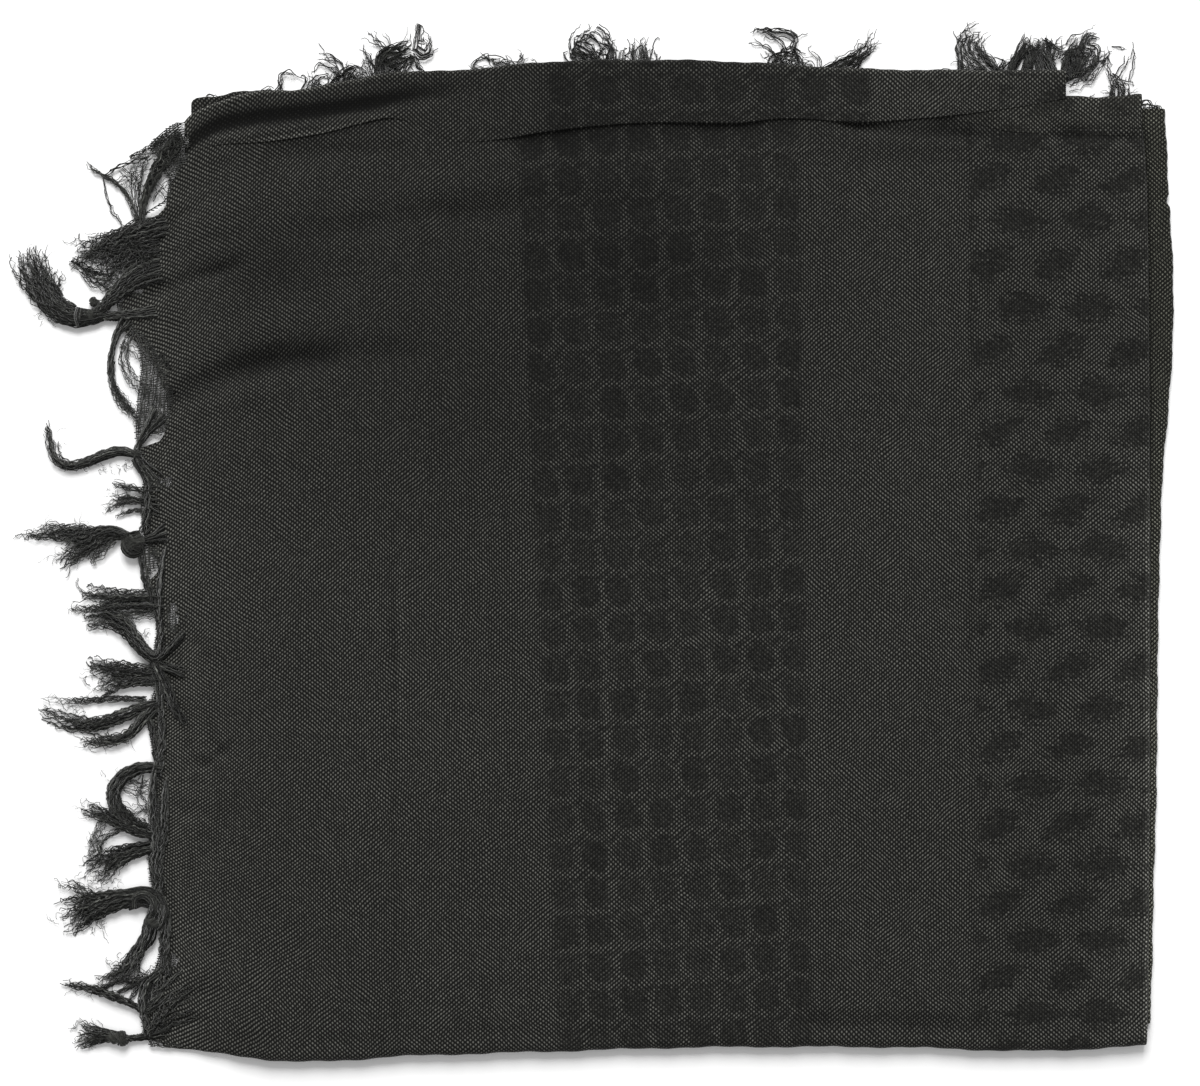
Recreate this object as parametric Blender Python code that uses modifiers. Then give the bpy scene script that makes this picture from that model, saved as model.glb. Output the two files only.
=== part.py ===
"""A keffiyeh headscarf: a square of woven cotton with knotted tassels, folded in half twice and laid flat.

Units are metres and +Z is up; the tables are in millimetres, and MM turns them into metres.
The origin is under the middle of the folded scarf's footprint, tassels included, on the surface it lies on.
+X runs from the tasselled edge towards the folds, and +Y towards the top fold.
"""
from collections import namedtuple
from math import cos, exp, hypot, pi, radians, sin

import bmesh
import bpy
from mathutils import Vector

MM = 0.001

# Driving dimensions, in millimetres.
PILE = 9.5            # height of the folded cloth, away from its edges
WALL = 1.2            # cloth wall
GAP = 0.35            # clearance between neighbouring pieces
PLY_STEP = 1.9        # how far the panel's edge dips where another stretch lies over it
TUCK = 5.0            # how far a stretch runs on under the one that lies over it
LEFT_EDGE_HEIGHT = 3.0  # height of the cloth along its tasselled edge
LEFT_SLOPE = 60.0     # distance over which it rises from there to the full pile
RIGHT_FOLD_RADIUS = 1.9
TOP_FOLD_RADIUS = 2.6
SECOND_FOLD_HEIGHT = 4.9
FOLD_RETURN = 4.0     # flat length of cloth that a full fold turns back under itself
HIDDEN_DROP = 2.15    # from the panel's upper face down to the hidden plies
HIDDEN_LEFT = 14.0    # how far the hidden plies stay inside each edge
HIDDEN_RIGHT = 19.5
HIDDEN_TOP = 15.0
HIDDEN_BOTTOM = 12.0
HIDDEN_STEP = 6.0
TASSEL_LIFT = 0.3     # tassels hang just clear of the surface

CLOTH_COLOR = (0.031, 0.031, 0.029, 1.0)
LOWER_COLOR = (0.026, 0.026, 0.024, 1.0)
YARN_COLOR = (0.024, 0.027, 0.026, 1.0)

# Outlines: y against x, or x against y, with smooth curves between the rows.
Edge = namedtuple("Edge", "at reach")

BOTTOM_EDGE = (
    Edge(-245, -280), Edge(-223, -283), Edge(-195, -286), Edge(-168, -289), Edge(-134, -288),
    Edge(-107, -286), Edge(-12, -283), Edge(60, -281), Edge(170, -281), Edge(245, -283), Edge(309, -280),
)
TOP_FOLD = (
    Edge(-237, 217), Edge(-226, 234), Edge(-209, 243), Edge(-190, 249), Edge(-162, 254), Edge(-107, 259),
    Edge(-29, 266), Edge(60, 265), Edge(115, 262), Edge(262, 261),
)
CREASE_LINE = (
    Edge(-237, 208), Edge(-224, 215), Edge(-181, 219), Edge(-144, 225), Edge(-107, 224), Edge(-73, 219),
    Edge(-29, 226), Edge(42, 233), Edge(115, 234), Edge(171, 232),
)
PANEL_TOP = (Edge(-256, 200), *CREASE_LINE, Edge(204, 235), Edge(234, 229), Edge(310, 227))
STRIP_FOOT = (*CREASE_LINE, Edge(204, 236), Edge(240, 241), Edge(262, 245))
STEP_TOP = (Edge(204, 246), Edge(262, 247), Edge(281, 246), Edge(304, 248))
LEFT_EDGE = (
    Edge(-290, -243), Edge(-266, -239), Edge(-250, -236), Edge(-100, -236), Edge(12, -236), Edge(30, -242),
    Edge(56, -246), Edge(85, -246), Edge(115, -250), Edge(133, -254), Edge(150, -250), Edge(168, -253),
    Edge(180, -249), Edge(197, -243), Edge(220, -236),
)
RIGHT_FOLD = (
    Edge(-290, 307), Edge(-250, 308), Edge(-30, 309), Edge(150, 308), Edge(200, 307), Edge(235, 305),
)
SECOND_FOLD = (
    Edge(-262, 309), Edge(-240, 310), Edge(-188, 311), Edge(-144, 313), Edge(-44, 314), Edge(-4, 315),
    Edge(39, 317), Edge(60, 319), Edge(99, 322), Edge(117, 322.7), Edge(150, 321.5), Edge(197, 319),
    Edge(240, 317),
)

# Stations of the cloth grids: closer where the cloth bends.
PANEL_COLUMNS = (0, 7, 16, 28, 44, 64, 86, 110, 134, 160, 200, 245, 300, 355, 410, 460, 500, 530)
PANEL_COLUMN_SPAN = 546.0
PANEL_ROWS = (
    0, 10, 30, 70, 105, 122, 136, 156, 176, 215, 260, 300, 335, 356, 373, 390, 408, 424, 440, 456,
)
PANEL_ROWS_NEAR_TOP = (470, 481, 490, 497, 503, 509)
PANEL_ROW_SPAN = 509.0
PANEL_FOOT_Y = -278.0  # y where the flat cloth starts, above the bottom fold
PANEL_LEFT_TOP_Y = 212.0  # and where it ends, at its tasselled side and at its folded side
PANEL_RIGHT_TOP_Y = 232.0
STRIP_ENDS_X = (-226.0, 262.0)
STRIP_COLUMNS = 27
STRIP_ROWS = 6
STEP_ENDS_X = (212.0, 304.5)
STEP_COLUMNS = 9
STEP_ROWS = 4
SECOND_FOLD_ROWS = 20
ROLL_STEPS = 4

# Soft troughs in the top cloth: a bowed line from (x0, y0) to (x1, y1).
Crease = namedtuple("Crease", "name x0 y0 x1 y1 bow width depth")

PANEL_CREASES = (
    Crease("shoulder trough", -138, 172, 26, 186, 6, 7, 0.9),
    Crease("long left trough", -233, 79, -125, 102, 7, 9, 2.0),
    Crease("upper gather", -243, 135, -205, 151, 0, 5, 0.9),
    Crease("corner gather", -256, 168, -231, 181, 0, 5, 0.7),
    Crease("upper edge pucker", -222, -105, -201, -120, -5, 5, 1.0),
    Crease("lower edge pucker", -226, -152, -209, -171, 0, 6, 0.9),
    Crease("bottom hollow", 131, -270, 204, -270, 0, 7, 0.7),
)
STRIP_CREASES = (
    Crease("top fold trough", -226, 227, -92, 250, 4, 5, 1.9),
)

# Tassels: the centre line runs from the root through two bends to the tip.
Tassel = namedtuple("Tassel", "root_x root_y bend_x bend_y reach_x reach_y tip_x tip_y root knot spread tip")

LEFT_TASSELS = (
    Tassel(-253, 182, -258, 189, -268, 199, -284, 211, 2.5, 3.5, 6.0, 4.0),
    Tassel(-258, 168, -265, 166, -276, 161, -295, 152, 4.0, 6.0, 8.5, 4.5),
    Tassel(-261, 131, -275, 125, -295, 133, -314, 157, 3.0, 4.5, 7.0, 4.0),
    Tassel(-257, 115, -263, 104, -266, 90, -258, 68, 2.5, 4.0, 4.5, 2.5),
    Tassel(-250, 48, -257, 47, -290, 39, -303, 62, 3.0, 4.5, 5.0, 3.0),
    Tassel(-246, 19, -253, 22, -262, 25, -274, 28, 3.0, 4.5, 6.0, 5.0),
    Tassel(-244, -1, -254, 0, -280, 0, -322.6, 5, 3.0, 6.0, 8.0, 2.0),
    Tassel(-243, -31, -253, -30, -270, -30, -292, -33, 3.0, 4.5, 6.5, 4.0),
    Tassel(-243.2, -58, -250, -57, -260, -51, -278, -49, 3.5, 5.0, 6.0, 4.0),
    Tassel(-243.2, -72, -250, -72, -263, -74, -283, -80, 3.0, 4.5, 6.0, 4.0),
    Tassel(-243.2, -92, -256, -96, -278, -102, -308, -93, 3.0, 5.0, 8.0, 3.0),
    Tassel(-243, -127, -268, -129, -268, -160, -245, -164, 2.5, 2.8, 2.8, 2.5),
    Tassel(-243.2, -181, -250, -180, -266, -180, -283, -183, 3.5, 6.0, 8.5, 4.5),
    Tassel(-243.2, -202, -250, -202, -275, -202, -301, -207, 3.5, 6.0, 8.0, 4.5),
    Tassel(-243.2, -217, -248, -220, -255, -228, -262, -240, 3.0, 4.5, 4.5, 2.5),
    Tassel(-243.2, -257, -252, -257, -274, -253, -298, -246, 2.5, 3.0, 4.0, 2.5),
    Tassel(-247, -275, -256, -276, -268, -277, -289, -277, 2.5, 4.5, 6.0, 5.0),
)
TOP_TASSELS = (
    Tassel(-150, 248, -152, 254, -158, 260, -170, 267, 3.0, 4.5, 8.0, 4.0),
    Tassel(-112, 253, -112, 261, -108, 271, -100, 286, 5.0, 9.0, 9.0, 4.0),
    Tassel(-46, 258, -47, 264, -48, 271, -52, 277, 6.0, 12.0, 14.0, 7.0),
    Tassel(0, 260, 0, 268, 0, 278, 2, 289.7, 6.0, 12.5, 13.5, 4.0),
    Tassel(28.5, 259, 28.5, 267, 29, 275, 31, 283, 6.0, 10.5, 11.0, 6.0),
    Tassel(115, 256, 114, 264, 107, 275, 96, 286, 5.0, 8.0, 9.0, 5.0),
    Tassel(139, 255, 142, 263, 148, 271, 154, 289, 3.5, 6.0, 5.5, 2.5),
    Tassel(220, 255, 219, 263, 213, 274, 208, 287, 4.0, 7.0, 8.0, 5.0),
    Tassel(243, 255, 244, 262, 246, 270, 248, 278, 7.0, 10.0, 7.0, 3.0),
    Tassel(267, 242, 269, 255, 272, 268, 277, 285, 4.0, 6.5, 7.0, 4.0),
    Tassel(293, 242, 293, 253, 294, 266, 296, 284, 4.0, 6.0, 8.0, 5.0),
)
TASSEL_SIDES = 8
TASSEL_STATIONS = 6
TASSEL_THICKNESS = 2.0  # half height of a tassel at its knot

EDGE_YARNS_X = -239.1
EDGE_YARNS_ENDS = (-244.0, 2.0)
EDGE_YARNS_RADIUS = 1.5
EDGE_YARNS_WANDER = 0.5
EDGE_YARNS_POINTS = 24

LOWER_CORNER_X = (-223.0, -182.0)
LOWER_CORNER_Y = (238.0, 247.6)
LOWER_CORNER_TOP = 2.3


def reach_at(table, at):
    """The smooth curve through a table's rows, read at one place."""
    if at <= table[0].at:
        return table[0].reach
    if at >= table[-1].at:
        return table[-1].reach
    span = next(i for i in range(len(table) - 1) if table[i + 1].at >= at)
    low, high = table[span], table[span + 1]
    before, after = table[max(span - 1, 0)], table[min(span + 2, len(table) - 1)]
    width = high.at - low.at
    slope_low = (high.reach - before.reach) / (high.at - before.at) * width
    slope_high = (after.reach - low.reach) / (after.at - low.at) * width
    t = (at - low.at) / width
    return (
        low.reach * (2 * t**3 - 3 * t**2 + 1) + slope_low * (t**3 - 2 * t**2 + t)
        + high.reach * (3 * t**2 - 2 * t**3) + slope_high * (t**3 - t**2)
    )


def smooth(t):
    """0 below 0, 1 above 1, and a soft step between."""
    t = min(max(t, 0.0), 1.0)
    return t * t * (3 - 2 * t)


def trough(crease, x, y):
    """Depth of one crease at (x, y)."""
    run_x, run_y = crease.x1 - crease.x0, crease.y1 - crease.y0
    length = hypot(run_x, run_y)
    along = ((x - crease.x0) * run_x + (y - crease.y0) * run_y) / length**2
    across = ((y - crease.y0) * run_x - (x - crease.x0) * run_y) / length
    inside = min(max(along, 0.0), 1.0)
    across -= crease.bow * 4 * inside * (1 - inside)
    beyond = (along - inside) * length
    return crease.depth * exp(-((across / crease.width) ** 2) - (beyond / (2.5 * crease.width)) ** 2)


def pile_at(x, y):
    """Height of the cloth's upper face over the hidden plies: it thins towards the tasselled edge."""
    inward = x - reach_at(LEFT_EDGE, y)
    return LEFT_EDGE_HEIGHT + (PILE - LEFT_EDGE_HEIGHT) * smooth(inward / LEFT_SLOPE)


def panel_height(x, y):
    """Upper face of the top panel."""
    to_top = reach_at(PANEL_TOP, x) - y
    dip = PLY_STEP * exp(-((max(to_top, 0.0) / 7.0) ** 2))
    share = smooth((x - reach_at(LEFT_EDGE, y)) / 40.0)
    return pile_at(x, y) - share * dip - share * sum(trough(crease, x, y) for crease in PANEL_CREASES)


def material(name, color, roughness):
    """A plain cloth finish."""
    made = bpy.data.materials.new(name)
    made.use_nodes = True
    shader = made.node_tree.nodes["Principled BSDF"]
    shader.inputs["Base Color"].default_value = color
    shader.inputs["Roughness"].default_value = roughness
    shader.inputs["Metallic"].default_value = 0.0
    return made


def add_mesh(name, points, faces, finish, collection):
    """One object from points in millimetres."""
    mesh = bpy.data.meshes.new(name)
    mesh.from_pydata([Vector(point) * MM for point in points], [], faces)
    mesh.materials.append(finish)
    made = bpy.data.objects.new(name, mesh)
    collection.objects.link(made)
    return made


def face_outwards(made):
    """Turn every face of a closed mesh outwards."""
    shape = bmesh.new()
    shape.from_mesh(made.data)
    bmesh.ops.recalc_face_normals(shape, faces=shape.faces)
    shape.to_mesh(made.data)
    shape.free()


def add_wall(made, thickness):
    """Solidify an open sheet downwards from its upper face."""
    wall = made.modifiers.new("cloth wall", "SOLIDIFY")
    wall.thickness = thickness * MM
    wall.offset = -1.0
    wall.use_even_offset = False
    wall.use_rim = True
    return made


def grid_faces(columns, rows):
    """Quads of a grid whose points run row by row, facing up."""
    return [
        (j * columns + i, j * columns + i + 1, (j + 1) * columns + i + 1, (j + 1) * columns + i)
        for j in range(rows - 1)
        for i in range(columns - 1)
    ]


def roll_angles(last, steps):
    """Angles round a fold, from the flat cloth to the last one."""
    return [radians(last) * step / steps for step in range(1, steps + 1)]


def panel_sides(share):
    """x of the panel's left edge and of its right fold, at a share of the way up."""
    left_y = PANEL_FOOT_Y + (PANEL_LEFT_TOP_Y - PANEL_FOOT_Y) * share
    right_y = PANEL_FOOT_Y + (PANEL_RIGHT_TOP_Y - PANEL_FOOT_Y) * share
    return reach_at(LEFT_EDGE, left_y), reach_at(RIGHT_FOLD, right_y)


def panel_columns(share):
    """x stations of one row of the panel: flat columns, then the lip that rolls over the right fold."""
    left, fold = panel_sides(share)
    right = fold - RIGHT_FOLD_RADIUS
    stretch = (right - left) / PANEL_COLUMN_SPAN
    flat = [(left + column * stretch, 0.0) for column in (*PANEL_COLUMNS, PANEL_COLUMN_SPAN)]
    lip = [
        (right + RIGHT_FOLD_RADIUS * sin(angle), RIGHT_FOLD_RADIUS * (1 - cos(angle)))
        for angle in roll_angles(90, ROLL_STEPS)
    ]
    return flat + lip


def panel_point(x, lip_drop, row):
    """One point of the top panel; rows below 0 go round the bottom fold."""
    bottom = reach_at(BOTTOM_EDGE, x)
    radius = panel_height(x, bottom + PILE / 2) / 2
    start = bottom + radius
    if row[0] == "flat":
        top = reach_at(PANEL_TOP, x) + TUCK
        y = start + (top - start) * row[1]
        return (x, y, panel_height(x, y) - lip_drop)
    if row[0] == "round":
        height = radius * (1 + cos(row[1]))
        return (x, start - radius * sin(row[1]), height - lip_drop * height / (2 * radius))
    return (x, start + row[1], 0.0)


def top_panel(finish, collection):
    """The quarter that lies on top, from the bottom fold to the crease under the strip."""
    rows = [("back", FOLD_RETURN)]
    rows += [("round", angle) for angle in reversed(roll_angles(180, 2 * ROLL_STEPS))]
    flat_rows = (*PANEL_ROWS, *PANEL_ROWS_NEAR_TOP)
    rows += [("flat", row / PANEL_ROW_SPAN) for row in flat_rows]
    points = []
    for row in rows:
        share = row[1] if row[0] == "flat" else 0.0
        points += [panel_point(x, drop, row) for x, drop in panel_columns(share)]
    columns = len(panel_columns(0.0))
    made = add_mesh("top_panel", points, grid_faces(columns, len(rows)), finish, collection)
    return add_wall(made, WALL)


def strip_height(x, y):
    """Upper face of the strip: it clears the panel's edge, and the corner step at its right end."""
    share = smooth((x - reach_at(LEFT_EDGE, y)) / 40.0)
    lift = 0.2 + 1.9 * smooth((x - 165) / 35.0) + 1.4 * (1 - share)
    crown = 0.7 * smooth((y - reach_at(STRIP_FOOT, x)) / 12.0)
    return pile_at(x, y) + lift + share * (crown - sum(trough(crease, x, y) for crease in STRIP_CREASES))


def top_fold_strip(finish, collection):
    """The stretch between the crease and the top fold."""
    left, right = STRIP_ENDS_X
    columns = STRIP_COLUMNS + 1
    points = []
    for row in range(STRIP_ROWS + 1 + ROLL_STEPS):
        for column in range(columns):
            x = left + (right - left) * column / STRIP_COLUMNS
            foot, fold = reach_at(STRIP_FOOT, x), reach_at(TOP_FOLD, x)
            radius = min(TOP_FOLD_RADIUS, 0.26 * strip_height(x, fold))
            start = fold - radius
            if row <= STRIP_ROWS:
                y = foot + (start - foot) * row / STRIP_ROWS
                points.append((x, y, strip_height(x, y)))
            else:
                angle = roll_angles(115, ROLL_STEPS)[row - STRIP_ROWS - 1]
                height = strip_height(x, start) - radius * (1 - cos(angle))
                points.append((x, start + radius * sin(angle), height))
    faces = grid_faces(columns, STRIP_ROWS + 1 + ROLL_STEPS)
    made = add_mesh("top_fold_strip", points, faces, finish, collection)
    return add_wall(made, WALL)


def corner_step(finish, collection):
    """The ply that shows below the notch, between the panel's edge and the strip's foot."""
    left, right = STEP_ENDS_X
    base = PILE - PLY_STEP + GAP + WALL
    points = []
    for row in range(STEP_ROWS + 1 + ROLL_STEPS):
        for column in range(STEP_COLUMNS + 1):
            x = left + (right - left) * column / STEP_COLUMNS
            foot = reach_at(PANEL_TOP, x)
            top = reach_at(STEP_TOP, x) - TOP_FOLD_RADIUS
            if row <= STEP_ROWS:
                y = foot + (top - foot) * row / STEP_ROWS
                points.append((x, y, base + 0.3 * sin(pi * row / STEP_ROWS)))
            else:
                angle = roll_angles(115, ROLL_STEPS)[row - STEP_ROWS - 1]
                height = base - TOP_FOLD_RADIUS * (1 - cos(angle))
                points.append((x, top + TOP_FOLD_RADIUS * sin(angle), height))
    faces = grid_faces(STEP_COLUMNS + 1, STEP_ROWS + 1 + ROLL_STEPS)
    made = add_mesh("corner_step", points, faces, finish, collection)
    return add_wall(made, WALL)


def second_fold(finish, collection):
    """The lower pair's fold: an upper leaf, a full round down to the surface and a short return."""
    radius = SECOND_FOLD_HEIGHT / 2
    bottom, top = SECOND_FOLD[0].at, SECOND_FOLD[-1].at
    sections = [(-18.0, SECOND_FOLD_HEIGHT), (-9.0, SECOND_FOLD_HEIGHT), (-radius, SECOND_FOLD_HEIGHT)]
    sections += [(radius * (sin(a) - 1), radius * (1 + cos(a))) for a in roll_angles(180, 2 * ROLL_STEPS)]
    sections.append((-radius - FOLD_RETURN, 0.0))
    points = []
    for row in range(SECOND_FOLD_ROWS + 1):
        y = bottom + (top - bottom) * row / SECOND_FOLD_ROWS
        points += [(reach_at(SECOND_FOLD, y) + inward, y, height) for inward, height in sections]
    faces = grid_faces(len(sections), SECOND_FOLD_ROWS + 1)
    made = add_mesh("second_fold", points, faces, finish, collection)
    return add_wall(made, WALL)


def lower_corner(finish, collection):
    """The square corner of a lower ply, rolled down at its outer edges."""
    roll = 1.2
    (left, right), (near, far) = LOWER_CORNER_X, LOWER_CORNER_Y
    xs = [(left + roll * (1 - sin(a)), roll * (1 - cos(a))) for a in reversed(roll_angles(60, 2))]
    xs += [(left + roll + (right - left - roll) * step / 4, 0.0) for step in range(5)]
    ys = [(near + (far - near - roll) * step / 2, 0.0) for step in range(3)]
    ys += [(far - roll * (1 - sin(a)), roll * (1 - cos(a))) for a in roll_angles(60, 2)]
    points = [(x, y, LOWER_CORNER_TOP - max(drop_x, drop_y)) for y, drop_y in ys for x, drop_x in xs]
    made = add_mesh("lower_corner", points, grid_faces(len(xs), len(ys)), finish, collection)
    return add_wall(made, WALL)


def hidden_plies(finish, collection):
    """The plies that do not show: one solid under the panel, stepped at its sides, flat underneath."""
    xs = list(PANEL_COLUMNS)
    ys = [*PANEL_ROWS, *PANEL_ROWS_NEAR_TOP]
    columns, rows = len(xs), len(ys)

    def place(column, row, inset):
        share = row / PANEL_ROW_SPAN
        left, right = panel_sides(share)
        left += HIDDEN_LEFT + inset
        right -= HIDDEN_RIGHT + inset
        x = left + (right - left) * column / PANEL_COLUMNS[-1]
        low = reach_at(BOTTOM_EDGE, x) + HIDDEN_BOTTOM + inset
        high = reach_at(TOP_FOLD, x) - HIDDEN_TOP - inset
        if x > STEP_ENDS_X[0]:
            high = min(high, reach_at(STEP_TOP, x) - HIDDEN_STEP - inset)
        return x, low + (high - low) * share

    def lid_height(x, y):
        past_crease = smooth((y - reach_at(PANEL_TOP, x) + 16.0) / 10.0)
        under_edge = pile_at(x, y) - PLY_STEP - 0.6
        over = panel_height(x, y) * (1 - past_crease) + under_edge * past_crease
        return max(over - HIDDEN_DROP, 1.2)

    points = []
    for row in ys:
        for column in xs:
            x, y = place(column, row, 0.0)
            points.append((x, y, lid_height(x, y)))
    faces = grid_faces(columns, rows)
    rim = list(range(columns))
    rim += [j * columns + columns - 1 for j in range(1, rows)]
    rim += [(rows - 1) * columns + i for i in range(columns - 2, -1, -1)]
    rim += [j * columns for j in range(rows - 2, 0, -1)]
    # The sides step in and out like stacked plies; each level is a share of the lid's height.
    levels = ((0.72, -0.8), (0.62, 0.9), (0.46, -0.6), (0.36, 1.1), (0.18, -0.3), (0.0, 0.8))
    ring = rim
    for share, inset in levels:
        lower = []
        for index in rim:
            x, y = place(xs[index % columns], ys[index // columns], inset)
            lower.append(len(points))
            points.append((x, y, points[index][2] * share))
        count = len(rim)
        faces += [(lower[k], lower[(k + 1) % count], ring[(k + 1) % count], ring[k]) for k in range(count)]
        ring = lower
    faces.append(tuple(reversed(ring)))
    return add_mesh("hidden_plies", points, faces, finish, collection)


def tassel_stations(row):
    """Share of a tassel's length at its root, its knot, its spread and its tip."""
    marks = (
        (row.root_x, row.root_y), (row.bend_x, row.bend_y),
        (row.reach_x, row.reach_y), (row.tip_x, row.tip_y),
    )
    lengths = [hypot(b[0] - a[0], b[1] - a[1]) for a, b in zip(marks, marks[1:])]
    shares = [sum(lengths[:count]) / sum(lengths) for count in range(4)]
    return shares, marks


def tassel_centre(row, t):
    """Centre line of a tassel: a smooth curve through its root, its knot, its spread and its tip."""
    shares, marks = tassel_stations(row)
    x = reach_at([Edge(share, mark[0]) for share, mark in zip(shares, marks)], t)
    y = reach_at([Edge(share, mark[1]) for share, mark in zip(shares, marks)], t)
    return x, y


def tassel_half_width(row, t):
    """Half width of a tassel: narrow root, knot, spread and tip."""
    shares, _ = tassel_stations(row)
    widths = (row.root, row.knot, row.spread, row.tip)
    return reach_at([Edge(share, width) for share, width in zip(shares, widths)], t)


def tassel(name, row, finish, collection):
    """A plain flattened solid of one tassel's reach, lying on the surface."""
    points = []
    for station in range(TASSEL_STATIONS + 1):
        t = station / TASSEL_STATIONS
        x, y = tassel_centre(row, t)
        ahead_x, ahead_y = tassel_centre(row, min(t + 0.04, 1.0))
        behind_x, behind_y = tassel_centre(row, max(t - 0.04, 0.0))
        along = Vector((ahead_x - behind_x, ahead_y - behind_y)).normalized()
        width = tassel_half_width(row, t)
        thick = min(TASSEL_THICKNESS, width) * (1 - 0.55 * max(t - 0.3, 0.0) / 0.7)
        for side in range(TASSEL_SIDES):
            angle = 2 * pi * side / TASSEL_SIDES
            offset = width * cos(angle)
            height = TASSEL_LIFT + thick * (1 + sin(angle))
            points.append((x - along.y * offset, y + along.x * offset, height))
    faces = [tuple(range(TASSEL_SIDES))]
    for station in range(TASSEL_STATIONS):
        base, following = station * TASSEL_SIDES, (station + 1) * TASSEL_SIDES
        for side in range(TASSEL_SIDES):
            after = (side + 1) % TASSEL_SIDES
            faces.append((base + after, base + side, following + side, following + after))
    last = TASSEL_STATIONS * TASSEL_SIDES
    faces.append(tuple(reversed(range(last, last + TASSEL_SIDES))))
    made = add_mesh(name, points, faces, finish, collection)
    face_outwards(made)
    return made


def edge_yarns(finish, collection):
    """The bundle of loose yarn along the tasselled edge, a bevelled curve with filled caps."""
    curve = bpy.data.curves.new("edge_yarns", "CURVE")
    curve.dimensions = "3D"
    curve.bevel_depth = EDGE_YARNS_RADIUS * MM
    curve.bevel_resolution = 1
    curve.use_fill_caps = True
    curve.materials.append(finish)
    line = curve.splines.new("POLY")
    line.points.add(EDGE_YARNS_POINTS - 1)
    low, high = EDGE_YARNS_ENDS
    for index, point in enumerate(line.points):
        y = low + (high - low) * index / (EDGE_YARNS_POINTS - 1)
        x = EDGE_YARNS_X + EDGE_YARNS_WANDER * sin(index * 0.9)
        point.co = (x * MM, y * MM, (EDGE_YARNS_RADIUS + TASSEL_LIFT) * MM, 1.0)
    made = bpy.data.objects.new("edge_yarns", curve)
    collection.objects.link(made)
    return made


def build():
    """Every piece of the folded scarf, in one collection."""
    for old in list(bpy.data.objects):
        bpy.data.objects.remove(old, do_unlink=True)
    scarf = bpy.data.collections.new("folded_keffiyeh")
    bpy.context.scene.collection.children.link(scarf)
    top_panel(material("top cloth", CLOTH_COLOR, 0.92), scarf)
    top_fold_strip(material("strip cloth", CLOTH_COLOR, 0.92), scarf)
    corner_step(material("step cloth", CLOTH_COLOR, 0.92), scarf)
    second_fold(material("second cloth", LOWER_COLOR, 0.93), scarf)
    lower_corner(material("corner cloth", LOWER_COLOR, 0.93), scarf)
    face_outwards(hidden_plies(material("hidden cloth", LOWER_COLOR, 0.94), scarf))
    edge_yarns(material("loose yarn", YARN_COLOR, 0.9), scarf)
    for side, rows in (("left", LEFT_TASSELS), ("top", TOP_TASSELS)):
        for number, row in enumerate(rows, start=1):
            name = f"{side}_tassel_{number:02d}"
            tassel(name, row, material(name, YARN_COLOR, 0.9), scarf)


build()
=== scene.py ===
"""Looks of a folded keffiyeh: woven cotton, worn-in creases and frayed tassels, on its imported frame.

Tables are in millimetres, in the frame's own axes: +X towards the folds, +Y towards the top fold.
"""

from collections import namedtuple
from math import cos, pi, radians, sin

import bpy
import numpy as np
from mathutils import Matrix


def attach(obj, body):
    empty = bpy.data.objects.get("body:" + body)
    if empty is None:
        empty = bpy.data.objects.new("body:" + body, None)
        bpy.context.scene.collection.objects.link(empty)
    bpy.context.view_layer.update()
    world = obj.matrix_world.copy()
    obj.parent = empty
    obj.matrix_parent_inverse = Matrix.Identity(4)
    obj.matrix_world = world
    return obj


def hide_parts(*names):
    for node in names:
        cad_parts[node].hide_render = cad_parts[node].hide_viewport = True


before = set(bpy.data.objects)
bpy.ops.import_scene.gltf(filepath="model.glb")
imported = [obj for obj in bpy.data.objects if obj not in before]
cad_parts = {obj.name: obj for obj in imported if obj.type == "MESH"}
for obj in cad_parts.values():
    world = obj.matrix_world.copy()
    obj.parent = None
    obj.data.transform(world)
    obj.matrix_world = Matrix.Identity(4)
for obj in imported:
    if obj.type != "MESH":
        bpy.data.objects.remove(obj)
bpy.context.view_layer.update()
MM = 0.001
rng = np.random.default_rng(11)

# ---------------------------------------------------------------- outlines and creases

PILE = 9.5
LEFT_EDGE_HEIGHT = 3.0
LEFT_SLOPE = 60.0
RIGHT_RADIUS = 1.9
TOP_RADIUS = 2.4
SECOND_HEIGHT = 4.9
STEP_HEIGHT = 9.25
STEP_RADIUS = 2.2
FOOT_Y = -278.0
LEFT_TOP_Y = 212.0
RIGHT_TOP_Y = 232.0
# Spacing of the threads, and the length of one step along a yarn.
THREAD_X = 1.39
THREAD_Y = 1.22
STATION = 1.5
# The ends of the tasselled edge.
EDGE_FOOT = -281.0
EDGE_TOP = 233.0
# The least height of cloth, and of yarn, over the surface that the scarf lies on.
LEAST_Z = 0.12
YARN_FLOOR = 0.05
# How far a yarn's root goes into the cloth.
ROOT_DEPTH = 1.3

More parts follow.
